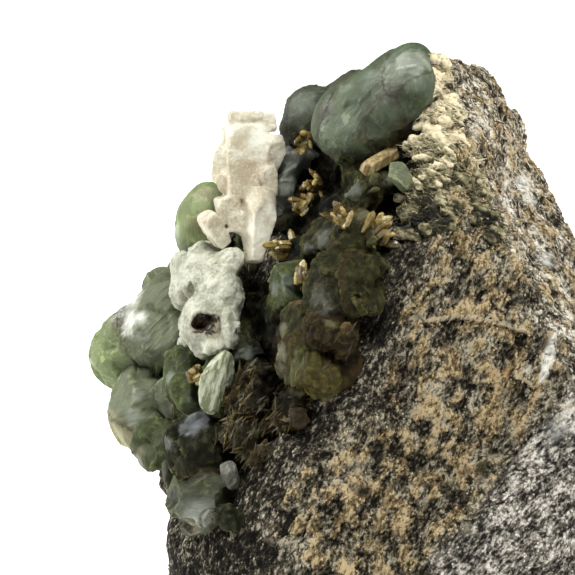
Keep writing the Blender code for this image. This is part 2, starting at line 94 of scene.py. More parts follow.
DARK_AND_SHADED_TONES = ((0.0, (0.004, 0.004, 0.003)), (0.45, (0.022, 0.019, 0.013)), (0.75, (0.10, 0.088, 0.062)),
              (1.0, (0.38, 0.34, 0.25)))
SPECKLED_TONES = ((0.0, (0.006, 0.005, 0.003)), (0.3, (0.045, 0.038, 0.025)), (0.6, (0.165, 0.145, 0.10)),
                  (1.0, (0.46, 0.42, 0.31)))
TAN_TONES = ((0.0, (0.011, 0.008, 0.004)), (0.35, (0.085, 0.060, 0.027)), (0.7, (0.22, 0.163, 0.082)),
             (1.0, (0.47, 0.37, 0.21)))
GREY_TONES = ((0.0, (0.012, 0.011, 0.009)), (0.3, (0.10, 0.09, 0.072)), (0.6, (0.31, 0.285, 0.235)),
              (1.0, (0.72, 0.69, 0.61)))
RIGHT_TONES = ((0.0, (0.012, 0.010, 0.007)), (0.3, (0.095, 0.082, 0.057)), (0.6, (0.36, 0.315, 0.225)),
               (1.0, (0.80, 0.77, 0.68)))
VEIN_COLOUR = (0.48, 0.40, 0.26)
PATCH_COLOUR = (0.80, 0.79, 0.70)
# Tones of the stains, of single pale grains, and of the black painted shadows in small hollows
ROCK_STAIN_AND_SHADOW_TONES = {
    "pale": (0.85, 0.85, 0.78),
    "cream": (0.42, 0.38, 0.28),
    "sand": (0.3, 0.27, 0.2),
    "grey": (0.19, 0.19, 0.135),
    "tan": (0.45, 0.265, 0.12),
    "rust": (0.13, 0.07, 0.035),
    "bark": (0.03, 0.025, 0.018),
    "moss": (0.016, 0.02, 0.01),
    "black": (0.008, 0.0075, 0.006),
}
# Where they lie: (x, y, z), reach, tone, share
# The black patches are painted shadows in small hollows of the front; the others are stains and pale grains
ROCK_STAINS_AND_SHADOWS = (
    ((24.0, 8.7, 48.8), 1.4, "pale", 0.65), ((24.6, 8.1, 47.1), 1.0, "pale", 0.6),
    ((22.9, -12.8, 30.7), 0.8, "cream", 0.5), ((21.8, -13.7, 28.8), 0.8, "cream", 0.5),
    ((20.0, -14.8, 26.4), 0.9, "cream", 0.5), ((19.0, -16.4, 24.2), 0.8, "cream", 0.5),
    ((17.8, -17.6, 22.3), 0.8, "cream", 0.5), ((17.1, -18.9, 20.4), 0.8, "cream", 0.5),
    ((17.2, -15.2, 25.0), 0.9, "rust", 0.8), ((18.8, -15.5, 25.4), 0.9, "moss", 0.9),
    ((8.9, -14.9, 26.8), 0.9, "black", 1.0), ((6.9, -16.8, 23.4), 0.9, "black", 1.0),
    ((6.6, -15.7, 25.7), 1.1, "sand", 0.6), ((22.5, -10.2, 40.9), 1.0, "black", 0.8),
    ((24.6, -11.4, 36.9), 1.1, "black", 0.8), ((20.9, -11.3, 38.9), 0.5, "grey", 0.9),
    ((21.0, -11.8, 34.2), 0.5, "tan", 0.8), ((19.7, -12.2, 34.3), 0.5, "tan", 0.7),
    ((12.6, -11.8, 39.5), 0.5, "grey", 0.9), ((26.2, 4.1, 42.0), 1.0, "pale", 0.6),
    ((15.9, -8.0, 48.2), 0.9, "black", 0.9), ((18.9, -11.6, 42.4), 1.2, "black", 0.7),
    ((14.6, -3.0, 63.2), 1.6, "bark", 0.8), ((26.1, -14.9, 29.2), 1.4, "pale", 0.35),
)
# Edges of stains: rags for each millimetre, how far they reach, and the shares of a stain's reach where it fades
RAGS_PER_MM = 0.8
RAG_REACH = 0.5
PATCH_FADE = (0.15, 1.25)


def vector(point):
    return (Vector(point) + CENTRING) * MM


def put(name, mesh):
    """A new object at the origin with this mesh, light or camera."""
    made = bpy.data.objects.new(name, mesh)
    bpy.context.scene.collection.objects.link(made)
    return made


def piece_of(name, points, faces):
    mesh = bpy.data.meshes.new(name)
    mesh.from_pydata(points, [], faces)
    return put(name, mesh)


def solid_copy(name, cad_node):
    """A closed copy of a solid of the frame, whose own mesh is loose triangles."""
    shape = bmesh.new()
    shape.from_mesh(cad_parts[cad_node].data)
    bmesh.ops.remove_doubles(shape, verts=shape.verts, dist=0.001 * MM)
    mesh = bpy.data.meshes.new(name)
    shape.to_mesh(mesh)
    shape.free()
    return put(name, mesh)


def changed(piece, kind, **settings):
    """Puts a modifier on a piece with these settings, and keeps the result as its plain mesh."""
    modifier = piece.modifiers.new(kind, kind)
    for name, value in settings.items():
        if name.startswith("Socket"):  # an input of a node tree
            modifier[name] = value
        else:
            setattr(modifier, name, value)
    mesh = bpy.data.meshes.new_from_object(piece.evaluated_get(bpy.context.evaluated_depsgraph_get()))
    piece.modifiers.clear()
    piece.data = mesh


def move_points(piece, spots):
    """Moves every point of a piece to its place in millimetres, before centring."""
    piece.data.vertices.foreach_set("co", ((spots + np.array(CENTRING)) * MM).ravel())


def places(mesh):
    """Every point of a mesh in millimetres, before centring, as rows of x, y and z."""
    found = np.empty(len(mesh.vertices) * 3)
    mesh.vertices.foreach_get("co", found)
    return found.reshape(-1, 3) / MM - np.array(CENTRING)


def facings(mesh):
    found = np.empty(len(mesh.vertices) * 3)
    mesh.vertex_normals.foreach_get("vector", found)
    return found.reshape(-1, 3)


def give(mesh, name, values):
    """Keeps a number for each point of a mesh, or a vector or colour where there are three or four columns."""
    kinds = {1: ("FLOAT", "value"), 3: ("FLOAT_VECTOR", "vector"), 4: ("FLOAT_COLOR", "color")}
    kind, key = kinds[1 if values.ndim == 1 else values.shape[1]]
    mesh.attributes.new(name, kind, "POINT").data.foreach_set(key, values.astype(np.float32).ravel())


def painted(spots, colours, patches, tones_by_name):
    """Colours with soft, ragged patches laid over them. A fourth value counts how much is laid."""
    ragged = np.array([noise.fractal(Vector(spot) * RAGS_PER_MM, 0.8, 2.0, 4) for spot in spots])
    for middle, reach, name, share in patches:
        tint = (*tones_by_name[name], 1.0)[:colours.shape[1]]
        far = np.linalg.norm(spots - np.array(middle), axis=1) / reach + RAG_REACH * ragged
        laid = (share * fade(*PATCH_FADE, far))[:, None]
        colours = colours * (1 - laid) + np.array(tint) * laid
    return colours


def dress(piece, look):
    piece.data.shade_smooth()
    piece.data.materials.clear()
    piece.data.materials.append(look)


def stains_and_painted_light_of(spots, patches, tones_by_name):
    """The colour of the stains and of painted light and shade at each place, and how much of it there is."""
    stains = painted(spots, np.zeros((len(spots), 4)), patches, tones_by_name)
    stains[:, :3] /= np.maximum(stains[:, 3:], 0.001)
    return stains


def ease(low, high, value):
    share = np.clip((value - low) / (high - low), 0.0, 1.0)
    return share * share * (3 - 2 * share)


def fade(low, high, value):
    return 1 - ease(low, high, value)


def from_line(line, x, z):
    """Distance of points (x, z) from a line of points."""
    least = np.full(len(x), 1e9)
    for (x_0, z_0), (x_1, z_1) in zip(line, line[1:]):
        length = math.hypot(x_1 - x_0, z_1 - z_0)
        along = np.clip(((x - x_0) * (x_1 - x_0) + (z - z_0) * (z_1 - z_0)) / length**2, 0.0, 1.0)
        least = np.minimum(least, np.hypot(x - x_0 - along * (x_1 - x_0), z - z_0 - along * (z_1 - z_0)))
    return least


class Value:
    """A number, vector or colour that a node tree works out. Arithmetic with it adds nodes to its tree."""

    def __init__(self, tree, socket):
        self.tree, self.socket = tree, socket

    def __add__(self, other):
        return reckon("ADD", self, other)

    def __sub__(self, other):
        return reckon("SUBTRACT", self, other)

    def __rsub__(self, other):
        return reckon("SUBTRACT", other, self)

    def __mul__(self, other):
        return reckon("MULTIPLY", self, other)

    def __rtruediv__(self, other):
        return reckon("DIVIDE", other, self)

    __radd__, __rmul__ = __add__, __mul__


def reckon(kind, first, second=0.0):
    """One step of arithmetic between two numbers, two vectors, or a vector and the number that scales it."""
    plain = [value.socket.type == "VALUE" if isinstance(value, Value) else not isinstance(value, tuple)
             for value in (first, second)]
    tree = (first if isinstance(first, Value) else second).tree
    if all(plain):
        return node(tree, "ShaderNodeMath", {0: first, 1: second}, operation=kind)
    if plain[1]:
        return node(tree, "ShaderNodeVectorMath", {0: first, 3: second}, operation="SCALE")
    return node(tree, "ShaderNodeVectorMath", {0: first, 1: second}, operation=kind)


def node(tree, kind, inputs, out=0, **settings):
    """Adds a node whose inputs are plain or worked out, and returns one of its outputs."""
    made = tree.nodes.new(kind)
    for name, value in settings.items():
        setattr(made, name, value)
    for key, value in inputs.items():
        if isinstance(value, Value):
            tree.links.new(value.socket, made.inputs[key])
        else:
            made.inputs[key].default_value = value
    return Value(tree, made.outputs[out])


def tones(share, stops):
    """A run of colours along a share from 0 to 1."""
    made = share.tree.nodes.new("ShaderNodeValToRGB")
    while len(made.color_ramp.elements) < len(stops):
        made.color_ramp.elements.new(0.5)
    for element, (place, colour) in zip(made.color_ramp.elements, stops):
        element.position = place
        element.color = (*colour, 1.0)
    share.tree.links.new(share.socket, made.inputs[0])
    return Value(share.tree, made.outputs[0])


def blend(share, first, second):
    first, second = ((*c, 1.0) if isinstance(c, tuple) else c for c in (first, second))
    return node(share.tree, "ShaderNodeMix", {0: share, 6: first, 7: second}, 2, data_type="RGBA")


def between(value, low, high, low_out=0.0, high_out=1.0):
    """A smooth step from one value to another."""
    inputs = {0: value, 1: low, 2: high, 3: low_out, 4: high_out}
    return node(value.tree, "ShaderNodeMapRange", inputs, interpolation_type="SMOOTHSTEP")


def own(tree, name, out=2):
    """An attribute of the piece in a material: 3 is its alpha, 2 its number, 1 its vector and 0 its colour."""
    return node(tree, "ShaderNodeAttribute", {}, out, attribute_name=name)


def with_stains_and_painted_light(colour, share):
    """A colour with the piece's own stains, painted shade and painted light over it."""
    return blend(own(colour.tree, "stain_and_painted_light", 3) * share, colour, own(colour.tree, "stain_and_painted_light", 0))


def speckle(place, per_mm, detail=3.0, rough=0.6):
    inputs = {"Vector": place, "Scale": per_mm, "Detail": detail, "Roughness": rough}
    return node(place.tree, "ShaderNodeTexNoise", inputs)


def leant(place, angle):
    """A place turned about the y axis."""
    return node(place.tree, "ShaderNodeVectorRotate", {"Vector": place, "Angle": angle}, rotation_type="Y_AXIS")


def along_axis(place, axis):
    """One coordinate of a place: 0 is its x, 1 its y and 2 its z."""
    return node(place.tree, "ShaderNodeSeparateXYZ", {0: place}, axis)


def in_mm(tree):
    """The place on a piece in millimetres, in a material."""
    return node(tree, "ShaderNodeTexCoord", {}, "Object") * (1 / MM)


def surface_of(name, roughness, specular=0.5):
    """A new material: its tree and its shader."""
    material = bpy.data.materials.new(name)
    material.use_nodes = True
    shader = material.node_tree.nodes["Principled BSDF"]
    shader.inputs["Roughness"].default_value = roughness
    shader.inputs["Specular IOR Level"].default_value = specular
    return material, material.node_tree, shader


def feed(shader, **values):
    """Links worked-out values to the shader's sockets of these names, with _ for a space."""
    for name, value in values.items():
        value.tree.links.new(value.socket, shader.inputs[name.replace("_", " ")])


def lit_within(shader, share, radius, reach):
    """Light passes under the skin: its share, how far each colour goes, and the reach in millimetres."""
    shader.inputs["Subsurface Weight"].default_value = share
    shader.inputs["Subsurface Radius"].default_value = radius
    shader.inputs["Subsurface Scale"].default_value = reach * MM


def bump(shader, height, depth):
    """Fine relief of a height from 0 to 1 and a depth in millimetres."""
    inputs = {"Height": height, "Distance": depth * MM, "Strength": 1.0}
    feed(shader, Normal=node(height.tree, "ShaderNodeBump", inputs))


def rock_finish():
    material, tree, shader = surface_of("speckled_rock", 0.95, 0.12)
    place = own(tree, "grain_place", 1)
    grain, middle, broad = speckle(place, 3.2, 4.0, 0.75), speckle(place, 1.2, 2.0), speckle(place, 0.4, 3.0)
    # The tone follows the grain noise, which also makes the bump, and the relief's rise, so low places are darker:
    # the rock's dark grains, and painted shade in the pits
    tone = own(tree, "tone_shift") + 3.6 * grain + 1.5 * middle + broad + 0.6 * own(tree, "rise") - 2.55
    colour = tones(tone, SPECKLED_TONES)
    for zone, zone_tones in (("dark", DARK_AND_SHADED_TONES), ("grey", GREY_TONES), ("right", RIGHT_TONES)):
        edge = own(tree, zone) + 1.8 * (broad - 0.5)
        colour = blend(between(edge, 0.3, 0.7), colour, tones(tone, zone_tones))
    colour = blend(own(tree, "tan"), colour, tones(tone, TAN_TONES))
    for mark, mark_colour in (("vein", VEIN_COLOUR), ("patch", PATCH_COLOUR)):
        colour = blend(own(tree, mark) * between(grain, 0.35, 0.5), colour, mark_colour)
    feed(shader, Base_Color=with_stains_and_painted_light(colour, between(grain, 0.36, 0.52, 0.45, 1.0)))
    bump(shader, grain, 0.4)
    return material


def new_growth(name, sizes):
    """A geometry tree with a mesh in and out, and a named input for each size."""
    tree = bpy.data.node_groups.new(name, "GeometryNodeTree")
    tree.interface.new_socket("Geometry", in_out="OUTPUT", socket_type="NodeSocketGeometry")
    for size in ("Geometry", *sizes):
        kind = size if size in ("Geometry", "Material") else "Float"
        tree.interface.new_socket(size, in_out="INPUT", socket_type="NodeSocket" + kind)
    outputs = tree.nodes.new("NodeGroupInput").outputs
    return tree, {size: Value(tree, outputs[size]) for size in ("Geometry", *sizes)}


def end_growth(geometry):
    geometry.tree.links.new(geometry.socket, geometry.tree.nodes.new("NodeGroupOutput").inputs[0])


def grow(piece, tree, sizes):
    """Runs a geometry tree on a piece with these sizes, and keeps the result as its plain mesh."""
    inputs = {item.name: item.identifier for item in tree.interface.items_tree if item.in_out == "INPUT"}
    sizes = {inputs[name]: float(size) if name != "Material" else size for name, size in sizes.items()}
    changed(piece, "NODES", node_group=tree, **sizes)


def keep_named(geometry, name, value, kind="FLOAT", domain="POINT"):
    inputs = {"Geometry": geometry, "Name": name, "Value": value}
    return node(geometry.tree, "GeometryNodeStoreNamedAttribute", inputs, data_type=kind, domain=domain)


def kept(tree, name, kind="FLOAT"):
    return node(tree, "GeometryNodeInputNamedAttribute", {"Name": name}, data_type=kind)


def grown_place(tree):
    """The place on a mesh in millimetres, in a geometry tree."""
    return node(tree, "GeometryNodeInputPosition", {}) * (1 / MM)


def raised(geometry, height):
    """Moves a mesh along its normals by a height in millimetres."""
    move = node(geometry.tree, "GeometryNodeInputNormal", {}) * (height * MM)
    return node(geometry.tree, "GeometryNodeSetPosition", {"Geometry": geometry, "Offset": move})


def grainy_relief():
    """Grains along the streaks, tan clumps standing on them where the rock is tan, and low swells under both."""
    sizes = ("Grain Width", "Grain Height", "Clump Width", "Clump Height", "Swell Width", "Swell Height")
    tree, given = new_growth("Grainy relief", sizes)
    place = grown_place(tree)
    swell = speckle(place, 1.0 / given["Swell Width"], 2.0) - 0.5
    place = leant(place, kept(tree, "lean")) * (1.0, 1.0, STREAK_STRETCH)
    geometry = keep_named(given["Geometry"], "grain_place", place, "FLOAT_VECTOR")
    grain = speckle(place, 1.0 / given["Grain Width"], 2.0) - 0.5
    clump = speckle(place, 1.0 / given["Clump Width"], 4.0) + CLUMP_ON_TAN * kept(tree, "tan_zone")
    clump = between(clump + CLUMP_ON_SWELL * swell, *CLUMP_EDGE)
    geometry = keep_named(geometry, "tan", clump)
    height = grain * given["Grain Height"] + clump * given["Clump Height"] + swell * given["Swell Height"]
    geometry = keep_named(geometry, "rise", height)
    end_growth(raised(geometry, (height + VEIN_HEIGHT * kept(tree, "vein")) * kept(tree, "relief")))
    return tree


rock_look = rock_finish()
rock = solid_copy("rock", "host_rock")
changed(rock, "REMESH", mode="VOXEL", voxel_size=SKIN_VOXEL * MM)
changed(rock, "SMOOTH", iterations=SKIN_SETTLE, factor=0.5)
shape = bmesh.new()
shape.from_mesh(rock.data)


def refine(wanted=lambda middles: True):
    """Cuts the skin's faces finer where they are shown to the front or right, clear of the crust, and wanted."""
    shape.faces.ensure_lookup_table()
    middles = np.array([face.calc_center_median() for face in shape.faces]) / MM - np.array(CENTRING)
    ways = np.array([face.normal for face in shape.faces])
    clear = middles[:, 2] < np.interp(middles[:, 0], *zip(*RIM)) + CRUST_OVER
    shown = clear & (ways @ SHOWN_WAY > 0.02) & (middles[:, 2] > FINE_ABOVE) & wanted(middles)
    edges = list({edge for index in np.flatnonzero(shown) for edge in shape.faces[index].edges})
    bmesh.ops.subdivide_edges(shape, edges=edges, cuts=1, use_grid_fill=True)
    bmesh.ops.triangulate(shape, faces=[face for face in shape.faces if len(face.verts) > 4])


def beside_vein(middles):
    return np.min([from_line(line, middles[:, 0], middles[:, 2]) for line in VEINS], axis=0) < VEIN_REACH


refine()
refine(beside_vein)
shape.to_mesh(rock.data)
shape.free()
spots = places(rock.data)
undercut = UNDERCUT * fade(*UNDERCUT_TOP, spots[:, 2]) * fade(*UNDERCUT_SIDE, spots[:, 0])
spots[:, 0] += undercut * ease(0.0, 1.0, spots[:, 2])
move_points(rock, spots)

spots, normals = places(rock.data), facings(rock.data)
x, z = spots[:, 0], spots[:, 2]
wander = ARRIS_WANDER * np.array([noise.noise(Vector(spot) * WANDERS_PER_MM) for spot in spots])
above_rim = z - np.interp(x, *zip(*RIM))
below_crust = np.where(above_rim < 0, from_line(RIM, x, z), 0.0)
right = ease(-1.0, 1.2, x - np.interp(z, [p[1] for p in ARRIS], [p[0] for p in ARRIS]) + wander)
beyond_ledge = (x - LEDGE_POINT[0]) * LEDGE_WAY_OUT[0] + (z - LEDGE_POINT[1]) * LEDGE_WAY_OUT[1]
front = ease(0.0, 0.3, -normals[:, 1]) * (1 - right)
grey = ease(-0.5, 3.0, beyond_ledge) * front
# The dark zone: darker rock, and painted shade in a band below the crust's lower edge and on the lower left of the
# front, which faces down
dark = np.maximum(0.75 * fade(1.0, 4.5, below_crust), fade(-2.0, 6.0, x + 0.7 * (z - 14.0)))
vein, vein_shadow = np.zeros(len(x)), np.zeros(len(x))
for line in VEINS:
    vein = np.maximum(vein, front * fade(0.5 * VEIN_WIDTH, 1.6 * VEIN_WIDTH, from_line(line, x, z)))
    vein_shadow = np.maximum(vein_shadow, front * fade(0.1, 0.4, from_line(line, x, z + VEIN_SHADE_DROP)))
lean = math.radians(PATCH_LEAN)
off_x, off_z = x - PATCH_MIDDLE[0], z - PATCH_MIDDLE[1]
along = (off_x * math.sin(lean) + off_z * math.cos(lean)) / PATCH_HALVES[1]
across = (off_x * math.cos(lean) - off_z * math.sin(lean)) / PATCH_HALVES[0]
seen = ease(-0.2, 0.2, -normals[:, 1])
give(rock.data, "dark", dark)
give(rock.data, "grey", grey)
give(rock.data, "right", right)
give(rock.data, "tan_zone", np.clip(1 - 1.2 * dark - grey - 0.15 * right, 0.0, 1.0) * np.maximum(front, right))
give(rock.data, "vein", vein)
give(rock.data, "patch", seen * fade(0.75, 1.1, np.abs(along) ** 1.5 + np.abs(across)))
give(rock.data, "stain_and_painted_light", stains_and_painted_light_of(spots, ROCK_STAINS_AND_SHADOWS, ROCK_STAIN_AND_SHADOW_TONES))
# Below each vein the tone drops: a painted shadow
give(rock.data, "tone_shift", -0.1 - 0.5 * vein_shadow)
give(rock.data, "lean", -np.radians(np.select([right > 0.5, grey > 0.5], STREAK_LEAN[:0:-1], STREAK_LEAN[0])))
give(rock.data, "relief", np.clip(1.0 - 0.3 * right - 0.1 * grey, 0.3, 1.0) * ease(0.2, 0.8, z))
grainy = grainy_relief()
grow(rock, grainy, ROCK_RELIEF)
dress(rock, rock_look)
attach(rock, "root")
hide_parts("host_rock")


# ==== Grains of the rock ====
# Loose-standing mineral grains of the broken and weathered faces, each held in the rock by its lower half. They
# lie along the streaks, dense on the tan and the weathered faces and thin where the rock is dark.

GRAIN_SIZES = {
    # zone: grains per square millimetre, width, length, lean of their long side
    "front": (9.5, 0.19, 0.28, STREAK_LEAN[0]),
    "right": (8.0, 0.19, 0.26, STREAK_LEAN[2]),
}
GRAIN_STRAY = 0.45  # how far grains stray from the streaks
GRAIN_SPREAD = (0.55, 1.5)  # smallest and largest, as shares of the width and length
GRAIN_TONES = (-0.2, 0.3)  # how much darker or paler a grain can be


def grain_scatter():
    """Small grains strewn on a skin where it is grainy, leaning by the tilt and straying from it."""
    sizes = ("Grains", "Width", "Length", "Scatter Seed", "Tilt", "Stray", "Material")
    tree, given = new_growth("Grain scatter", sizes)
    density = kept(tree, "grainy") * given["Grains"] * (1 / MM**2)
    inputs = {"Mesh": given["Geometry"], "Density": density, "Seed": given["Scatter Seed"]}
    points = node(tree, "GeometryNodeDistributePointsOnFaces", inputs)

    def any_vector(least, most, seed):
        inputs = {0: (least,) * 3, 1: (most,) * 3, "Seed": seed}
        return node(tree, "FunctionNodeRandomValue", inputs, data_type="FLOAT_VECTOR")

    streak = {0: reckon("SINE", given["Tilt"]), 2: reckon("COSINE", given["Tilt"])}
    streak = node(tree, "ShaderNodeCombineXYZ", streak)
    way = any_vector(-1.0, 1.0, 1) * given["Stray"] + streak
    inputs = {"Rotation": any_vector(0.0, 2 * math.pi, 2), "Vector": way}
    turn = node(tree, "FunctionNodeAlignRotationToVector", inputs, axis="Z")
    extent = node(tree, "ShaderNodeCombineXYZ", {0: given["Width"], 1: given["Width"], 2: given["Length"]})
    extent = extent * any_vector(*GRAIN_SPREAD, 3) * MM
    grain = node(tree, "GeometryNodeMeshUVSphere", {"Segments": 4, "Rings": 2, "Radius": 0.5})
    inputs = {"Points": points, "Instance": grain, "Rotation": turn, "Scale": extent}
    grains = node(tree, "GeometryNodeInstanceOnPoints", inputs)
    inputs = {2: GRAIN_TONES[0], 3: GRAIN_TONES[1], "Seed": 4}
    shift = node(tree, "FunctionNodeRandomValue", inputs, 1, data_type="FLOAT")
    grains = keep_named(grains, "tone_shift", shift, domain="INSTANCE")
    grains = node(tree, "GeometryNodeRealizeInstances", {"Geometry": grains})
    end_growth(node(tree, "GeometryNodeSetMaterial", {"Geometry": grains, "Material": given["Material"]}))
    return tree


def strewn(name, mesh, density, width, length, seed, tilt, stray, look):
    """A piece of grains strewn on a mesh: how many for each square millimetre, their size, lean and look."""
    piece = put(name, mesh)
    grow(piece, scatter, {
        "Grains": density, "Width": width, "Length": length, "Scatter Seed": seed,
        "Tilt": math.radians(tilt), "Stray": stray, "Material": look,
    })
    return piece


scatter = grain_scatter()
rise = np.empty(len(x), np.float32)
rock.data.attributes["rise"].data.foreach_get("value", rise)
seen = ease(0.0, 0.2, normals @ SHOWN_WAY) * ease(3.0, 6.0, z) * (above_rim < CRUST_OVER)
cover = (0.1 + 0.9 * seen) * (1.0 - 0.4 * dark) * ease(-0.25, 0.0, rise) * ease(0.5, 1.0, z)
for seed, (zone, (density, width, length, lean)) in enumerate(GRAIN_SIZES.items(), 11):
    mesh = rock.data.copy()
    give(mesh, "grainy", cover * (right if zone == "right" else 1 - right))
    piece = strewn(f"rock_grains_{zone}", mesh, density, width, length, seed, lean, GRAIN_STRAY, rock_look)
    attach(piece, "root")


# ==== Prehnite crust ====
# Bosses of radiating green prehnite that have grown into each other over the whole crystal wall. The wide ones are
# smooth domes that run together, and the small dark ones have blunt crystal faces and brown stain with painted
# shade in the seams between them.

# Each boss: (x, z, out from the wall), (radii in x, y, z), tilt about y in degrees, flats cut on it, width of its
# seam, tone
BOSSES = {
    "crest": ((8.4, 58.2, 3.3), (3.1, 4.5, 6.0), 42, 0, 3.0, "pale"),
    "crest_left": ((5.7, 56.9, 3.6), (2.7, 4.2, 3.8), 40, 0, 3.0, "pale"),
    "crest_low": ((9.7, 58.1, 3.0), (2.2, 3.6, 3.6), 42, 0, 3.0, "pale"),
    "crest_twin": ((11.4, 61.4, 2.9), (2.2, 4.2, 3.5), 40, 0, 2.2, "pale"),
    "crest_foot": ((6.2, 53.8, 3.0), (1.8, 2.6, 1.9), 0, 8, 1.0, "olive"),
    "crest_right": ((12.1, 60.0, 2.4), (2.0, 3.2, 2.6), 20, 1, 2.0, "pale"),
    "shade_boss": ((2.6, 55.7, 2.3), (3.0, 4.2, 3.1), 40, 1, 1.4, "shade"),
    "shade_shelf": ((1.0, 54.1, 2.8), (1.9, 2.8, 1.5), 10, 2, 0.6, "shade"),
    "shade_facet": ((0.3, 50.9, 2.6), (2.1, 3.2, 2.6), 30, 8, 0.3, "lilac"),
    "shade_step": ((-0.3, 48.3, 2.0), (1.5, 2.8, 1.9), 20, 9, 0.3, "lilac"),
    "knob": ((7.5, 50.4, 2.6), (2.3, 2.6, 2.3), 0, 9, 0.4, "olive"),
    "knob_small": ((10.8, 52.4, 1.8), (1.7, 2.4, 1.4), 20, 9, 0.2, "grey"),
    "front_crest": ((6.8, 46.4, 2.4), (3.2, 3.6, 3.2), 0, 4, 0.25, "olive"),
    "front_ridge": ((4.3, 46.2, 3.2), (2.2, 3.4, 4.3), 47, 3, 0.2, "olive"),
    "front_tip": ((0.3, 40.6, 3.4), (2.4, 3.2, 3.1), -8, 3, 0.2, "mid"),
    "front_body": ((4.5, 42.1, 3.5), (3.1, 3.6, 4.2), 12, 3, 0.25, "olive"),
    "front_back": ((6.7, 42.6, 2.3), (2.8, 3.4, 3.6), -15, 4, 0.3, "olive"),
    "front_mid": ((1.3, 37.6, 3.2), (2.6, 3.4, 3.1), 10, 3, 0.2, "olive"),
    "front_side": ((4.1, 37.8, 2.2), (2.9, 3.2, 3.0), -20, 6, 0.3, "brown"),
    "front_foot": ((1.4, 35.3, 2.8), (2.7, 3.2, 3.2), 0, 3, 0.2, "straw"),
    "front_toe": ((3.0, 34.1, 2.0), (2.2, 2.6, 2.0), 30, 6, 0.3, "straw"),
    "front_bead": ((0.9, 32.6, 2.4), (0.8, 1.2, 0.8), 0, 2, 0.2, "shade"),
    "flank_high": ((-8.9, 43.5, 3.0), (2.9, 4.2, 4.3), 16, 1, 1.6, "bright"),
    "flank_left": ((-17.3, 29.4, 3.1), (3.8, 4.8, 3.8), 0, 0, 3.0, "bright"),
    "flank_patch": ((-15.2, 32.4, 3.0), (2.6, 4.6, 2.6), 30, 0, 3.0, "grey"),
    "flank_back": ((-12.7, 33.6, 2.9), (3.6, 4.8, 4.6), 30, 0, 3.0, "grey"),
    "flank_top": ((-11.3, 36.2, 2.4), (2.4, 4.0, 2.2), 50, 0, 3.0, "grey"),
    "flank_mid": ((-10.0, 29.9, 3.3), (3.1, 3.4, 3.7), -14, 3, 0.3, "mid"),
    "flank_low": ((-15.4, 25.9, 2.6), (3.2, 3.8, 3.4), 0, 5, 0.5, "grey"),
    "flank_rim": ((-16.3, 22.8, 1.8), (1.8, 2.6, 2.8), -32, 0, 1.6, "rim"),
    "flank_base": ((-13.2, 23.2, 2.6), (2.9, 3.0, 2.8), 0, 3, 0.3, "mid"),
    "dark_ball": ((-8.4, 25.2, 3.3), (4.3, 3.9, 3.5), 0, 0, 0.3, "dark"),
    "needle_boss": ((-2.9, 31.2, 2.6), (2.8, 3.2, 2.8), 20, 10, 0.3, "brown"),
    "needle_front": ((-4.6, 30.7, 3.1), (1.7, 2.4, 2.2), 30, 9, 0.2, "brown"),
    "needle_low": ((-3.7, 27.3, 2.2), (2.9, 3.0, 2.6), -20, 11, 0.3, "brown"),
    "needle_side": ((0.2, 30.3, 1.6), (2.0, 2.4, 2.2), 0, 9, 0.3, "brown"),
    "bridge": ((-3.5, 33.5, 1.6), (3.0, 2.8, 1.2), -10, 7, 0.4, "shade"),
    "blade_seat": ((-6.8, 31.1, 3.3), (2.0, 4.2, 3.0), 10, 7, 0.3, "mid"),
    "under_white": ((-7.6, 37.3, 1.6), (3.2, 4.4, 3.8), 0, 2, 1.2, "mid"),
    "under_column": ((-3.8, 46.5, 1.6), (3.0, 4.4, 4.2), 10, 2, 1.2, "mid"),
    "foot": ((-8.5, 20.6, 3.0), (3.7, 3.4, 3.1), 0, 1, 0.8, "foot"),
    "foot_drip": ((-9.9, 17.7, 1.4), (0.8, 1.2, 1.3), -10, 8, 0.3, "foot"),
    "foot_left": ((-11.6, 20.6, 2.2), (0.9, 2.0, 2.4), -14, 8, 0.3, "foot"),
    "foot_right": ((-5.6, 20.3, 2.0), (1.6, 1.8, 1.3), 25, 9, 0.3, "dark"),
    "foot_shelf": ((-8.6, 23.1, 3.0), (2.8, 2.4, 0.8), 0, 8, 0.3, "foot"),
    "foot_tip": ((-9.2, 18.3, 1.8), (1.6, 2.0, 1.5), 0, 5, 0.5, "foot"),
    "far_high": ((3.0, 54.4, 0.2), (2.6, 3.6, 2.6), 0, 2, 0.8, "mid"),
    "far_middle": ((-3.5, 48.0, 1.0), (3.0, 3.8, 3.2), 0, 3, 1.0, "mid"),
    "far_low": ((-8.8, 37.0, 0.8), (2.6, 4.0, 2.8), 0, 3, 1.6, "bright"),
    "knob_link": ((9.2, 51.2, 1.3), (1.6, 2.4, 1.2), 0, 6, 0.3, "olive"),
}
BOSS_TONES = {
    "pale": (0.066, 0.090, 0.048),
    "bright": (0.165, 0.205, 0.082),
    "grey": (0.115, 0.132, 0.072),
    "mid": (0.036, 0.046, 0.017),
    "shade": (0.042, 0.048, 0.030),
    "lilac": (0.115, 0.122, 0.104),
    "rim": (0.30, 0.29, 0.15),
    "dark": (0.008, 0.009, 0.0045),
    "olive": (0.013, 0.0135, 0.0045),
    "straw": (0.026, 0.022, 0.006),
    "brown": (0.010, 0.0065, 0.002),
    "foot": (0.042, 0.047, 0.027),
}
# Tones of the uneven colour in the prehnite, some of which lay painted light and painted shade
TINT_TONES = {
    "chalk": (0.74, 0.76, 0.68),
    "pearl": (0.44, 0.47, 0.36),
    "milky": (0.33, 0.35, 0.29),
    "frost": (0.22, 0.25, 0.2),
    "haze": (0.13, 0.155, 0.11),
    "cream": (0.34, 0.31, 0.2),
    "gold": (0.27, 0.24, 0.08),
    "honey": (0.17, 0.155, 0.085),
    "amber": (0.115, 0.1, 0.038),
    "rust": (0.125, 0.067, 0.029),
    "violet": (0.152, 0.16, 0.168),
    "painted_sheen": (0.085, 0.092, 0.072),
    "slate": (0.044, 0.045, 0.036),
    "moss": (0.046, 0.055, 0.025),
    "deep": (0.028, 0.036, 0.018),
    "soot": (0.01, 0.009, 0.005),
}
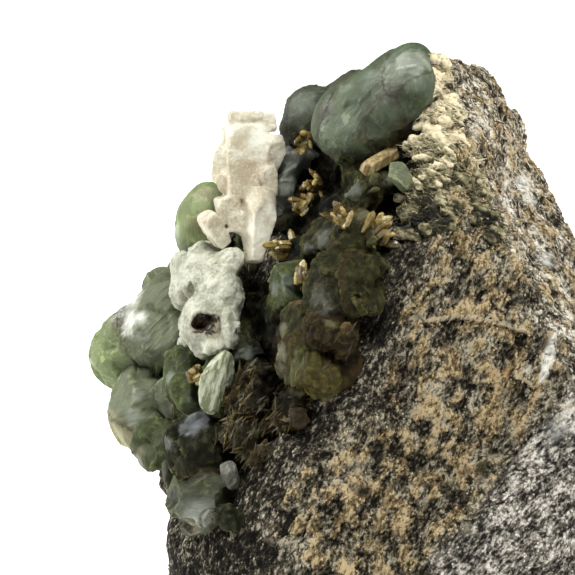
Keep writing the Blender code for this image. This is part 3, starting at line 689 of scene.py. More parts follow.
# Where they lie: (x, y, z), reach, tone, share
TINTS = (
    ((-17.3, 13.8, 35.5), 2.8, "chalk", 0.85), ((-16.1, 11.0, 34.0), 1.9, "chalk", 0.65),
    ((-14.5, 7.8, 28.5), 0.8, "milky", 0.8), ((-15.5, 7.3, 27.1), 0.8, "milky", 0.7),
    ((-15.9, 6.7, 25.0), 1.0, "milky", 0.7), ((-14.0, 8.9, 30.7), 1.6, "moss", 0.8),
    ((-13.1, 6.0, 27.4), 1.7, "moss", 0.8), ((-18.4, 8.1, 24.2), 1.3, "cream", 0.7),
    ((-17.1, 7.1, 22.4), 1.3, "cream", 0.7), ((-15.5, 1.7, 21.9), 1.2, "cream", 0.7),
    ((-12.0, 1.3, 30.5), 0.7, "frost", 0.7), ((-9.1, 0.8, 30.6), 0.9, "gold", 0.8),
    ((-9.2, -0.5, 28.0), 1.0, "haze", 0.6), ((-11.7, 15.4, 42.7), 1.3, "pearl", 0.7),
    ((-8.7, 14.7, 47.1), 1.4, "cream", 0.7), ((-9.5, 12.9, 43.9), 2.0, "amber", 0.6),
    # The violet patch on top of the dark ball and the steel-grey patch on its left are painted highlights
    ((-9.1, -6.5, 27.6), 1.6, "violet", 0.9), ((-11.8, -6.1, 25.4), 1.0, "painted_sheen", 0.7),
    # On the crest, the milky and frost patches pale its top, partly a pale outer layer and partly painted light;
    # the deep patches darken its lower right, partly its dark inside and partly painted shade
    ((-9.6, -8.6, 25.0), 1.8, "soot", 0.8), ((11.3, -3.2, 63.3), 2.6, "milky", 0.85),
    ((8.5, -2.5, 61.8), 1.8, "frost", 0.7), ((9.4, -4.2, 60.5), 1.5, "frost", 0.6),
    ((12.2, -4.8, 61.4), 1.3, "frost", 0.6), ((12.1, -4.5, 59.2), 2.4, "deep", 0.85),
    ((10.2, -4.0, 56.8), 2.2, "deep", 0.8), ((3.3, -0.6, 56.8), 1.1, "frost", 0.6),
    ((5.7, -3.2, 56.6), 1.8, "haze", 0.5), ((7.2, -3.8, 55.5), 1.2, "amber", 0.6),
    ((1.3, 8.8, 57.6), 1.8, "haze", 0.6), ((3.7, 0.7, 57.6), 1.5, "slate", 0.7),
    ((0.1, 7.5, 50.0), 1.4, "frost", 0.7), ((-0.3, 13.8, 51.6), 1.2, "violet", 0.6),
    # The steel-grey patches on the front ridge and the front bosses are painted highlights on their shiny faces
    ((3.4, -6.3, 46.3), 1.3, "painted_sheen", 0.8), ((-1.0, -4.9, 40.8), 0.8, "frost", 0.7),
    ((0.0, -6.6, 41.8), 1.3, "painted_sheen", 0.7), ((1.3, -9.1, 40.4), 1.0, "rust", 0.8),
    ((3.1, -12.4, 41.6), 1.5, "slate", 0.8), ((-0.6, -9.8, 37.9), 0.9, "honey", 0.7),
    ((-0.7, -11.6, 36.1), 1.0, "honey", 0.8), ((-0.4, -12.0, 34.0), 1.0, "honey", 0.8),
    ((1.2, -13.8, 35.6), 1.8, "moss", 0.6), ((6.1, -5.4, 50.9), 1.2, "painted_sheen", 0.6),
    ((-3.9, -3.2, 34.1), 1.3, "frost", 0.75), ((-5.4, -2.2, 33.6), 1.0, "milky", 0.75),
    ((-8.5, -13.3, 20.2), 1.7, "milky", 0.65), ((-12.2, -2.8, 18.8), 1.0, "milky", 0.7),
    ((-9.3, -11.3, 18.1), 1.0, "cream", 0.7), ((-8.0, -12.3, 22.5), 1.4, "deep", 0.6),
    ((-13.4, -0.1, 23.7), 1.8, "moss", 0.7), ((-3.6, -10.4, 31.5), 1.8, "soot", 0.8),
    ((-3.6, -12.1, 27.5), 2.2, "soot", 0.8), ((5.1, -7.5, 48.1), 1.2, "painted_sheen", 0.8),
    ((2.1, -6.1, 45.1), 1.0, "painted_sheen", 0.8), ((3.7, -13.5, 40.5), 1.0, "slate", 0.7),
    ((5.4, -16.9, 40.7), 1.0, "rust", 0.7), ((4.2, -14.7, 39.8), 0.8, "amber", 0.7),
    ((8.5, -10.2, 47.3), 0.9, "amber", 0.6), ((7.2, -8.0, 49.0), 0.9, "amber", 0.6),
    # These frost patches pale the crest's upper left rim, partly its pale outer layer and partly painted light
    ((4.2, 0.6, 58.3), 1.2, "frost", 0.7), ((5.7, 0.0, 60.1), 1.4, "frost", 0.7),
)
# The deep dark furrow between the white crystals and the front bosses, as (x, z). Painted shade darkens it almost
# to black, over the dark crystals that line it.
FURROW = ((3.4, 50.4), (2.2, 46.9), (-1.6, 41.6), (-2.4, 36.8), (-1.4, 33.0))
FURROW_WIDTH = 2.2
FURROW_EDGE = (0.6, 1.3)  # where it fades, as shares of its width
FURROW_OUT = (3.2, 5.2)  # where it fades, out from the wall
FURROW_SHADE = 0.03  # share of a boss's tone left under the furrow's painted shade
FLAT_CUT = (0.76, 0.9)  # where flats are cut, for a radius of 1
CRYSTAL_FLATS = 7  # a boss with this many flats is a crystal, cut deeper
CRYSTAL_CUT = (0.6, 0.84)
# The broad faces that some bosses show: which way each faces, and where it is cut
BROAD_FLATS = {
    "crest_twin": (((-0.62, -0.3, 0.72), 0.78),),
    "shade_facet": (((-0.55, -0.72, 0.42), 0.6),),
    "front_ridge": (((-0.52, -0.70, 0.49), 0.5), ((0.45, -0.75, 0.48), 0.6), ((-0.45, -0.55, -0.7), 0.6)),
    "front_crest": (((0.25, -0.90, 0.35), 0.58), ((-0.35, -0.45, 0.82), 0.62), ((0.92, -0.38, 0.05), 0.7)),
    "front_tip": (((-0.82, -0.54, 0.2), 0.58), ((0.25, -0.95, 0.15), 0.58), ((-0.1, -0.5, 0.86), 0.66),
                  ((-0.2, -0.6, -0.77), 0.72)),
    "front_body": (((-0.66, -0.72, 0.2), 0.56), ((0.42, -0.88, 0.22), 0.58), ((-0.1, -0.5, 0.86), 0.68),
                   ((0.1, -0.6, -0.79), 0.7)),
    "front_back": (((0.35, -0.90, 0.25), 0.6), ((0.85, -0.5, 0.15), 0.7), ((0.0, -0.6, 0.8), 0.7)),
    "front_mid": (((-0.75, -0.62, 0.22), 0.58), ((0.32, -0.93, 0.18), 0.6), ((0.1, -0.6, -0.79), 0.7)),
    "front_foot": (((-0.72, -0.69, 0.05), 0.6), ((0.35, -0.93, 0.1), 0.62), ((0.0, -0.6, -0.8), 0.7)),
    "knob": (((-0.3, -0.9, 0.3), 0.6), ((0.6, -0.78, 0.15), 0.66), ((0.0, -0.5, 0.87), 0.7)),
    "flank_back": (((-0.30, -0.86, 0.42), 0.66),),
    "flank_low": (((-0.70, -0.62, 0.35), 0.56), ((0.15, -0.94, 0.30), 0.58), ((-0.3, -0.9, -0.3), 0.62),
                  ((0.1, -0.6, 0.8), 0.66)),
    "flank_mid": (((-0.35, -0.85, 0.40), 0.6), ((0.55, -0.78, 0.30), 0.64), ((-0.85, -0.5, 0.1), 0.75)),
    "flank_base": (((-0.72, -0.68, 0.10), 0.6), ((0.2, -0.97, 0.05), 0.66), ((-0.2, -0.55, 0.81), 0.66)),
    "dark_ball": (((-0.35, -0.58, 0.74), 0.6), ((-0.05, -0.99, -0.02), 0.6), ((-0.88, -0.46, 0.0), 0.68),
                  ((0.80, -0.58, 0.15), 0.66), ((0.42, -0.5, 0.76), 0.66), ((0.0, -0.6, -0.8), 0.68)),
    "foot": (((-0.10, -0.96, 0.24), 0.68), ((-0.86, -0.50, 0.05), 0.74), ((0.0, -0.38, 0.92), 0.72),
             ((0.55, -0.70, -0.45), 0.72), ((-0.3, -0.55, -0.78), 0.72), ((0.8, -0.6, 0.1), 0.78)),
}
BITS = 60  # small blunt prisms strewn over the dark bosses
BIT_RADIUS = (0.4, 0.8)
BIT_ASPECT = (1.3, 2.4)
BIT_DARKEST = 0.045  # mean tone below which bosses carry them
BIT_SPANS = ((-8.0, 12.0), (20.0, 54.0), (1.0, 4.0))
BIT_TURNS = ((-30, 60), (-60, 60))  # degrees about x and y
BIT_SEAM = 0.12
FILL_BOSSES = 46
FILL_RADIUS = (2.1, 3.1)
FILL_SPANS = ((-16, 14), (16, 60), (-0.4, 0.8))  # where they lie in x, in z and out from the wall
FILL_SPACING = 3.3
# How far from the rock they may lie, how squarely it has to face the wall's way there, and the (x, z) left of and
# below which none grow
FILL_LIMITS = (3.0, 0.6, (-10.5, 24.5))
FILL_SEAM = 0.8
DRUSE_DOMES = 150
DRUSE_RADIUS = (1.7, 2.9)
DRUSE_SPANS = ((-15.0, 15.0), (16.0, 61.0))
DRUSE_LIMITS = (5.0, 0.5, (-9.5, 25.5))
CRUST_STEP = 0.24
FACE_COUNT = 460  # small flat crystal faces cut on the fused crust, most of them where it is dark
FACE_DEPTHS = (0.05, 0.35)
FACE_REACH = 1.5
FACE_STRAY = 0.35  # how far a face's way strays from the skin's own
DARK_TONE = (0.02, 0.05)  # mean tone of the crust where it counts as dark, and where it no longer does
ROCK_BITE = 0.5  # depth that the crust's underside lies in the rock
CRUST_RELIEF = {
    "Swell Width": 1.8, "Swell Height": 0.22, "Groove Height": 0.32, "Tip Width": 0.8, "Tip Height": 0.4,
}
SEAM_STAIN_AND_SHADE_COLOUR = (0.035, 0.021, 0.008)
# Fine blades on the dark bosses: blades for each square millimetre, width, length, seed, lean, how far they stray
NEEDLES = (2.6, 0.28, 1.6, 31, 35.0, 0.8)
NEEDLE_TONES = ((0.0, (0.012, 0.010, 0.004)), (0.45, (0.032, 0.026, 0.009)), (0.8, (0.12, 0.09, 0.028)),
                (1.0, (0.34, 0.26, 0.09)))


def wall_normal():
    turn, lean = math.radians(WALL_TURN), math.radians(WALL_LEAN)
    return Vector((-math.cos(lean) * math.cos(turn), -math.cos(lean) * math.sin(turn), math.sin(lean)))


def on_wall(x, z, out):
    """The point with this x and z that stands this far out from the wall's plane, in millimetres."""
    normal = wall_normal()
    return Vector((x, (WALL_REACH + out - normal.x * x - normal.z * z) / normal.y, z))


def from_rim(x, z):
    """Distance of a place from the crust's lower edge, positive on the crust's side."""
    for (x_low, z_low), (x_high, z_high) in zip(RIM, RIM[1:]):
        if x_low <= x <= x_high:
            across, up = x_high - x_low, z_high - z_low
            return ((z - z_low) * across - (x - x_low) * up) / math.hypot(across, up)
    return -1.0


def in_furrow(x, z):
    return from_line(FURROW, np.array([x]), np.array([z]))[0] < FURROW_WIDTH


def solid_tree(cad_node):
    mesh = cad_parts[cad_node].data
    return BVHTree.FromPolygons([v.co for v in mesh.vertices], [f.vertices[:] for f in mesh.polygons])


def barred(spot, facing, gap, farthest, squareness, foot):
    """Whether a place is too far from the rock, faces away from the wall's way, or lies low on the left."""
    away = gap > farthest * MM or facing.dot(wall_normal()) < squareness
    return away or (spot.x < foot[0] and spot.z < foot[1])


def any_flats(seed, count):
    """Flats that face any way, each as its direction and how far out it is cut."""
    chance = random.Random(seed)
    flats = []
    for _ in range(count):
        way = Vector([chance.gauss(0, 1) for _ in range(3)]).normalized()
        flats.append((way, chance.uniform(*(CRYSTAL_CUT if count >= CRYSTAL_FLATS else FLAT_CUT))))
    return flats


def prism_flats(chance):
    """The six sides of a crystal and the three slanting faces of its blunt end."""
    start = chance.uniform(0, 1)
    flats = [(Vector((math.cos(start + side), math.sin(start + side), 0)), chance.uniform(0.6, 0.74))
             for side in np.arange(6) * math.pi / 3]
    for side in np.arange(3) * math.pi / 1.5:
        way = Vector((0.7 * math.cos(start + side), 0.7 * math.sin(start + side), 1)).normalized()
        flats.append((way, chance.uniform(0.6, 0.8)))
    return flats


Lump = namedtuple("Lump", "centre radii turn flats seam")


def lump_of(centre, radii, turns=(0, 0, 0), flats=(), seam=0.5):
    turn = np.array(Euler([math.radians(angle) for angle in turns]).to_matrix())
    return Lump(np.array(centre), np.array(radii), turn, flats, seam)


def depth_in(lump, off):
    """Distances from a lump's surface at these offsets from its centre, below zero inside it."""
    local = off @ lump.turn / lump.radii
    reach = np.linalg.norm(local, axis=-1)
    far = reach * (reach - 1) / np.maximum(np.linalg.norm(local / lump.radii, axis=-1), 1e-6)
    for way, cut in lump.flats:
        way = np.array(way)
        far = np.maximum(far, (local @ way - cut) / np.linalg.norm(way / lump.radii))
    return far


def skin_of(name, far, low, step):
    """The surface where a grid of distances passes zero, as a mesh of quads, one point to each mixed cell."""
    inside = far < 0
    corners = [(a, b, c) for a in (0, 1) for b in (0, 1) for c in (0, 1)]
    part = (slice(0, -1), slice(1, None))
    count = sum(inside[part[a], part[b], part[c]].astype(np.int8) for a, b, c in corners)
    cells = np.argwhere((count > 0) & (count < 8))
    unit = np.eye(3, dtype=int)
    total, crossings = np.zeros((len(cells), 3)), np.zeros(len(cells))
    for corner in corners:
        for axis in range(3):
            if corner[axis]:
                continue
            first = cells + corner
            second = first + unit[axis]
            near_far, end_far = far[tuple(first.T)], far[tuple(second.T)]
            crossed = (near_far < 0) != (end_far < 0)
            share = np.where(crossed, near_far / np.where(crossed, near_far - end_far, 1.0), 0.0)
            total += (first + share[:, None] * unit[axis]) * crossed[:, None]
            crossings += crossed
    points = np.array(low) + step * total / crossings[:, None]
    number = np.full(count.shape, -1, np.int32)
    number[tuple(cells.T)] = np.arange(len(cells))
    faces = []
    for axis in range(3):
        span = [slice(1, -1)] * 3
        span[axis] = slice(0, -1)
        first = inside[tuple(span)]
        span[axis] = slice(1, None)
        second = inside[tuple(span)]
        u, v = unit[(axis + 1) % 3], unit[(axis + 2) % 3]
        ways = ((first & ~second, (-u - v, -v, 0 * u, -u)), (~first & second, (-u - v, -u, 0 * u, -v)))
        for crossed, order in ways:
            corner = np.argwhere(crossed) + 1 - unit[axis]
            faces.append(np.column_stack([number[tuple((corner + step_off).T)] for step_off in order]))
    faces = np.concatenate(faces)
    return piece_of(name, (points + np.array(CENTRING)) * MM, faces.tolist())


def joined(name, lumps, step, hollows=()):
    """One skin over lumps that run into each other, each with a rounded seam of its own width."""
    margin = 3 * step
    reaches = [lump.radii.max() + margin for lump in lumps]
    low = np.min([lump.centre - reach for lump, reach in zip(lumps, reaches)], axis=0)
    high = np.max([lump.centre + reach for lump, reach in zip(lumps, reaches)], axis=0)
    far = np.full(np.ceil((high - low) / step).astype(int) + 1, 5.0, np.float32)
    for side, lump in [(1, lump) for lump in lumps] + [(-1, hollow) for hollow in hollows]:
        reach = lump.radii.max() + lump.seam + margin
        first = np.maximum(((lump.centre - reach - low) / step).astype(int), 0)
        last = np.minimum(((lump.centre + reach - low) / step).astype(int) + 2, far.shape)
        window = tuple(slice(a, b) for a, b in zip(first, last))
        axes = [low[i] + step * np.arange(first[i], last[i]) - lump.centre[i] for i in range(3)]
        own_far = depth_in(lump, np.stack(np.meshgrid(*axes, indexing="ij"), axis=-1))
        known = side * far[window]
        overlap = np.maximum(lump.seam - np.abs(known - own_far), 0) / lump.seam
        far[window] = side * (np.minimum(known, own_far) - overlap**2 * lump.seam / 4)
    return skin_of(name, far, low, step)


def cut_faces(piece, count, depths, seed, share):
    """Cuts flat crystal faces on a skin: the cap above each face's plane is pressed down onto it."""
    chance = random.Random(seed)
    spots, ways = places(piece.data), facings(piece.data)
    for _ in range(count):
        middle = chance.randrange(len(spots))
        way = ways[middle] + np.array([chance.uniform(-FACE_STRAY, FACE_STRAY) for _ in range(3)])
        way /= np.linalg.norm(way)
        depth = chance.uniform(*depths) * share[middle]
        off = spots - spots[middle]
        over = off @ way + depth
        near = np.linalg.norm(off, axis=1) < FACE_REACH
        spots = np.where((near & (over > 0))[:, None], spots - over[:, None] * way, spots)
    move_points(piece, spots)


def cut_away(piece, cad_node, depth):
    """Cuts off what lies in a solid of the frame, down to this depth below its face."""
    cutter = solid_copy("cutter", cad_node)
    move_points(cutter, places(cutter.data) - facings(cutter.data) * depth)
    changed(piece, "BOOLEAN", operation="DIFFERENCE", solver="MANIFOLD", object=cutter)
    bpy.data.objects.remove(cutter)


def drop_crumbs(piece):
    """Deletes every loose scrap of a piece but its largest island."""
    mesh = piece.data
    ends = np.empty(2 * len(mesh.edges), np.int32)
    mesh.edges.foreach_get("vertices", ends)
    first, second = ends.reshape(-1, 2).T
    island = np.arange(len(mesh.vertices))
    before = None
    while before is None or (island != before).any():
        before = island.copy()
        lowest = np.minimum(island[first], island[second])
        np.minimum.at(island, first, lowest)
        np.minimum.at(island, second, lowest)
        island = island[island]
    largest = np.bincount(island).argmax()
    shape = bmesh.new()
    shape.from_mesh(mesh)
    shape.verts.ensure_lookup_table()
    bmesh.ops.delete(shape, geom=[shape.verts[i] for i in np.flatnonzero(island != largest)])
    shape.to_mesh(mesh)
    shape.free()


lumps, boss_tones = [], []
for seed, (name, (spot, radii, tilt, count, seam, tone)) in enumerate(BOSSES.items(), 1):
    flats = any_flats(seed, count)
    for way, cut in BROAD_FLATS.get(name, ()):
        flats.append((Matrix.Rotation(math.radians(-tilt), 3, "Y") @ Vector(way), cut))
    lumps.append(lump_of(on_wall(*spot), radii, (0, tilt, 0), flats, seam))
    boss_tones.append(np.array(BOSS_TONES[tone]))
named = len(lumps)


def tone_near(spot):
    """The tone of the nearest boss that has a name."""
    return boss_tones[min(range(named), key=lambda i: (Vector(lumps[i].centre) - spot).length)]


chance = random.Random(41)
rock_tree, crust_tree = solid_tree("host_rock"), solid_tree("prehnite_crust")
while len(lumps) < named + FILL_BOSSES:
    spot = on_wall(*(chance.uniform(*span) for span in FILL_SPANS))
    _, facing, _, gap = rock_tree.find_nearest(vector(spot))
    crowded = any((spot - Vector(lump.centre)).length < FILL_SPACING for lump in lumps)
    radius = chance.uniform(*FILL_RADIUS)
    over_rim = from_rim(spot.x, spot.z) < 0.9 * radius
    if crowded or over_rim or in_furrow(spot.x, spot.z) or barred(spot, facing, gap, *FILL_LIMITS):
        continue
    boss_tones.append(tone_near(spot))
    lumps.append(lump_of(spot, (radius, 1.2 * radius, radius), flats=any_flats(len(lumps), 4), seam=FILL_SEAM))
domes = []
while len(domes) < DRUSE_DOMES:
    x, z = (chance.uniform(*span) for span in DRUSE_SPANS)
    spot, facing, _, gap = rock_tree.find_nearest(vector(on_wall(x, z, 0.0)))
    radius = chance.uniform(*DRUSE_RADIUS)
    spot = spot / MM - CENTRING
    if from_rim(spot.x, spot.z) < 0.6 * radius or barred(spot, facing, gap, *DRUSE_LIMITS):
        continue
    flats = any_flats(100 + len(domes), 3)
    domes.append(lump_of(spot - 0.45 * radius * facing, (radius,) * 3, flats=flats, seam=FILL_SEAM))
bits = 0
while bits < BITS:
    aim = on_wall(*(chance.uniform(*span) for span in BIT_SPANS))
    spot = crust_tree.find_nearest(vector(aim))[0] / MM - CENTRING
    tone = tone_near(spot)
    if tone.mean() > BIT_DARKEST or from_rim(spot.x, spot.z) < 0.3 or in_furrow(spot.x, spot.z):
        continue
    radii = chance.uniform(*BIT_RADIUS) * np.array([1.3, 1.3, chance.uniform(*BIT_ASPECT)])
    turns = (*(chance.uniform(*span) for span in BIT_TURNS), 0)
    lumps.append(lump_of(spot, radii, turns, prism_flats(chance), BIT_SEAM))
    boss_tones.append(tone * chance.uniform(0.5, 2.0) + 0.01 * chance.random())
    bits += 1
crust = joined("crust", domes + lumps, CRUST_STEP)
cut_away(crust, "host_rock", ROCK_BITE)
drop_crumbs(crust)


def nearest_bosses(spots):
    """The nearest boss and the next one at each place, how far out both lie, and the place within the nearest."""
    local = [((spots - lump.centre) @ lump.turn) / lump.radii for lump in lumps]
    reach = np.array([np.linalg.norm(own_local, axis=1) for own_local in local])
    order = np.argsort(reach, axis=0)[:2]
    reach = np.take_along_axis(reach, order, axis=0)
    return order, reach, np.array(local)[order[0], np.arange(len(spots))]


spots = places(crust.data)
order, reach, local = nearest_bosses(spots)
tone = np.array(boss_tones)
tone_share = (0.5 * fade(0.0, 0.3, reach[1] - reach[0]))[:, None]
colour = tone[order[0]] * (1 - tone_share) + tone[order[1]] * tone_share
colour = painted(spots, colour, TINTS, TINT_TONES)
# Painted shade in the furrow, over the bosses' own dark tone
furrow = fade(*FURROW_EDGE, from_line(FURROW, spots[:, 0], spots[:, 2]) / FURROW_WIDTH)
furrow *= fade(*FURROW_OUT, spots @ np.array(wall_normal()) - WALL_REACH)
colour *= (1 - (1 - FURROW_SHADE) * furrow)[:, None]
darkness = fade(*DARK_TONE, colour.mean(axis=1))
low_flank = fade(-10.0, -7.0, spots[:, 0]) * fade(30.0, 33.0, spots[:, 2])
cut_faces(crust, FACE_COUNT, FACE_DEPTHS, 61, np.maximum(0.15 + 0.85 * darkness, low_flank))
seam = np.array([lump.seam for lump in lumps])[order[0]]
give(crust.data, "tone", np.column_stack((colour, np.ones(len(colour)))))
give(crust.data, "crease", fade(0.02, 0.2, reach[1] - reach[0]) * fade(0.6, 1.6, seam))
give(crust.data, "bare", ease(1.03, 1.35, reach[0]) * (1 - furrow))
give(crust.data, "darkness", darkness)
bladed = fade(0.03, 0.06, colour.mean(axis=1)) * ease(-8.5, -6.5, spots[:, 0])
bladed *= fade(48.0, 52.0, spots[:, 2])
brown = ease(1.1, 1.35, colour[:, 0] / np.maximum(colour[:, 1], 0.001))
give(crust.data, "grainy", bladed * (1 - 0.9 * furrow) * brown * (1 - 0.85 * ease(-1.0, 1.0, spots[:, 0])))
twist = order[0] * 2.4
own_places = np.column_stack((
    local[:, 0] * np.cos(twist) - local[:, 2] * np.sin(twist),
    local[:, 1],
    local[:, 0] * np.sin(twist) + local[:, 2] * np.cos(twist),
)) + order[0][:, None] * 5.3
give(crust.data, "boss_place", own_places)


def low_relief():
    """Low swells, fine grooves along the bosses, and small blunt crystal tips where the crust is dark."""
    sizes = ("Swell Width", "Swell Height", "Groove Height", "Tip Width", "Tip Height")
    tree, given = new_growth("Low relief", sizes)
    place = grown_place(tree)
    height = (speckle(place, 1.0 / given["Swell Width"], 3.0, 0.55) - 0.5) * given["Swell Height"]
    along = kept(tree, "boss_place", "FLOAT_VECTOR") * (6.0, 6.0, 0.6)
    height = height + (speckle(along, 1.0, 1.0) - 0.5) * given["Groove Height"]
    width = reckon("MAXIMUM", given["Tip Width"], 0.1)
    inputs = {"Vector": place * (1.0, 1.0, 0.6), "Scale": 1.0 / width}
    tip = 0.7 - node(tree, "ShaderNodeTexVoronoi", inputs, "Distance", distance="MANHATTAN")
    height = height + tip * (kept(tree, "darkness") * given["Tip Height"])
    end_growth(raised(given["Geometry"], height))
    return tree


def prehnite_finish():
    material, tree, shader = surface_of("prehnite", 0.4, 0.3)
    place, local = in_mm(tree), own(tree, "boss_place", 1)
    tone, darkness = own(tree, "tone", 0), own(tree, "darkness")
    speck = speckle(place, 2.6)
    colour = tone * between(speckle(place, 0.35, 3.0, 0.5), 0.3, 0.7, 0.78, 1.25)
    veil = between(speckle(local * (8.0, 8.0, 1.0), 1.0, 5.0), 0.5, 0.75)
    colour = blend(0.5 * veil, colour, tone * 1.9 + (0.008, 0.008, 0.004))
    grime = between(speckle(place, 1.7, 4.0, 0.7), 0.5, 0.68, 0.0, 0.7)
    colour = blend(grime * darkness, colour, tone * (4.0, 3.4, 1.4) + (0.012, 0.009, 0.002))
    # Convex edges are painted paler: a painted highlight on the crystal rims
    edge = between(node(tree, "ShaderNodeNewGeometry", {}, "Pointiness"), 0.51, 0.58, 0.0, 0.6)
    colour = blend(edge, colour, tone * 2.6 + (0.02, 0.018, 0.008))
    # Brown stain with painted shade in the seams between bosses and on the low crust between them
    stain_and_painted_light = (0.75 * own(tree, "crease") + own(tree, "bare")) * between(speck, 0.35, 0.6, 0.35, 1.0)
    feed(
        shader, Base_Color=blend(stain_and_painted_light, colour, SEAM_STAIN_AND_SHADE_COLOUR),
        Roughness=0.15 * darkness + between(speck, 0.3, 0.75, 0.4, 0.62),
        Specular_IOR_Level=between(darkness, 0.0, 1.0, 0.35, 0.1),
        Transmission_Weight=between(darkness, 0.0, 0.6, 0.12, 0.0),
    )
    shader.inputs["IOR"].default_value = 1.45
    lit_within(shader, 0.4, (0.9, 1.0, 0.55), 1.0)
    bump(shader, speckle(local * (16.0, 16.0, 1.6), 1.0, 2.0) + speckle(place, 1.6, 5.0, 0.7), 0.16)
    return material


def needle_finish():
    material, tree, shader = surface_of("fine_blades", 0.5, 0.3)
    tone = 1.6 * speckle(in_mm(tree), 0.9, 4.0, 0.7) + own(tree, "tone_shift") - 0.45
    feed(shader, Base_Color=tones(tone, NEEDLE_TONES))
    lit_within(shader, 0.3, (1.0, 0.8, 0.3), 0.4)
    return material


gentle = low_relief()
grow(crust, gentle, CRUST_RELIEF)
needles = strewn("crust_blades", crust.data.copy(), *NEEDLES, needle_finish())
dress(crust, prehnite_finish())
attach(crust, "root")
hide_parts("prehnite_crust")
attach(needles, "root")


# ==== White crystals ====
# A stack of chalk-white blocky crystals above, and a lumpy white mass with a dark pit below it. Both are waxy and
# hardly pass light, with faint brown stains and painted shade in their corners; painted shade also darkens the
# column's body to beige, and painted light brightens its cap and tail.

# Each block: (centre x, y, z), (sizes in x, y, z), (turns about x, y, z in degrees), how much narrower it is below
COLUMN_BLOCKS = {
    "cap": ((-3.6, 8.4, 55.2), (4.3, 3.8, 1.9), (-10, -3, 14), 0.0),
    "cap_slab": ((-4.3, 7.8, 56.1), (3.3, 3.0, 0.9), (-14, 2, 8), 0.0),
    "body": ((-4.4, 7.0, 51.4), (4.0, 4.2, 7.4), (-14, 3, 10), 0.1),
    "left_lump": ((-6.6, 7.2, 51.2), (1.7, 3.0, 3.6), (-14, 6, -12), 0.2),
    "left_low": ((-6.3, 6.6, 49.4), (1.4, 2.6, 1.8), (-14, -14, -6), 0.2),
    "wedge": ((-1.9, 6.9, 52.2), (2.3, 2.6, 4.2), (-10, 8, 34), 0.55),
    "wedge_low": ((-2.2, 5.8, 49.7), (1.8, 2.6, 3.0), (-10, -6, 24), 0.2),
    "tail": ((-3.1, 3.9, 45.5), (2.4, 3.2, 7.5), (-18, 14, 26), 0.5),
    "tooth_inner": ((-6.0, 5.2, 47.0), (2.2, 2.8, 2.6), (-6, -8, 12), 0.1),
    "tooth_inner_low": ((-5.5, 4.9, 45.7), (1.5, 2.4, 1.9), (-6, 10, 20), 0.1),
    "tooth_outer": ((-7.4, 4.6, 45.0), (1.6, 2.6, 3.7), (0, -32, 24), 0.1),
}
BLOCK_SEAM = 0.35
# Each lump: (x, z, out from the wall), (radii in x, y, z), tilt about y in degrees, flats
ICING_LUMPS = {
    "bulk_high": ((-7.9, 39.8, 5.5), (3.3, 2.6, 3.0), 0, 4),
    "bulk_low": ((-7.8, 36.2, 5.4), (2.9, 2.6, 3.4), 0, 3),
    "bulk_left": ((-10.0, 38.8, 5.0), (2.0, 2.4, 2.8), 0, 4),
    "bulk_right": ((-5.9, 39.2, 5.1), (1.6, 2.6, 2.9), 0, 4),
    "top_left": ((-8.6, 41.9, 5.8), (1.7, 2.4, 1.3), 20, 6),
    "top_right": ((-5.7, 42.1, 5.6), (1.6, 2.4, 1.3), -22, 6),
    "shoulder": ((-10.7, 40.0, 5.2), (1.5, 2.4, 1.6), 20, 6),
    "left_cheek": ((-11.0, 37.3, 5.0), (1.1, 2.2, 1.5), -12, 6),
    "ridge": ((-6.9, 40.6, 6.4), (0.7, 2.2, 2.3), 48, 5),
    "middle": ((-8.0, 39.4, 6.2), (0.9, 2.4, 1.6), 12, 5),
    "ring_right": ((-5.7, 36.4, 5.0), (0.9, 2.8, 2.0), -8, 5),
    "ring_low": ((-7.0, 34.6, 4.7), (1.9, 2.8, 0.9), -24, 5),
    "left_body": ((-9.8, 35.6, 5.3), (1.1, 2.8, 2.3), 6, 5),
    "left_toe": ((-10.0, 33.5, 4.3), (1.0, 2.2, 1.0), 0, 6),
    "toe": ((-8.5, 33.5, 4.3), (0.8, 2.4, 0.9), 0, 6),
}
ICING_CHIPS = 60  # small blunt prisms grown out of the lumps
CHIP_RADIUS = (0.3, 0.6)
CHIP_OUT = 0.7  # how far out their middles lie, as a share of the lump's radii
CHIP_TURNS = ((-40, 60), (-60, 60))
CHIP_SEAM = 0.3
ICING_SEAM = 0.6
# Each hollow: (x, z, out), radii; the first ones are the deep pit
HOLLOWS = (
    ((-8.4, 37.0, 6.8), (1.0, 1.8, 0.8)),
    ((-7.6, 36.3, 6.7), (0.9, 1.5, 0.8)),
    ((-8.8, 36.4, 6.8), (0.8, 1.7, 0.7)),
    ((-7.2, 37.1, 6.8), (0.7, 1.5, 0.7)),
    ((-9.7, 38.8, 7.3), (0.5, 1.0, 1.3)),
)
PIT_HOLLOWS = 4
HOLLOW_SEAM = 0.3
WHITE_STEP = 0.15
WHITE_TONES = ((0.68, 0.66, 0.54), (0.46, 0.40, 0.28))
ICING_TONES = ((0.52, 0.52, 0.42), (0.25, 0.26, 0.18))
PIT_COLOURS = ((0.012, 0.011, 0.008), (0.33, 0.26, 0.17))
# Tones of the stains, the clearer corners, painted shade and painted light
WHITE_STAIN_AND_LIGHT_TONES = {
    "lit_snow": (0.84, 0.86, 0.73),
    "ivory": (0.47, 0.43, 0.3),
    "shaded_bone": (0.39, 0.33, 0.22),
    "brown": (0.38, 0.24, 0.12),
    "olive": (0.24, 0.26, 0.12),
    "clear": (0.42, 0.45, 0.36),
    "shadow": (0.22, 0.22, 0.16),
}
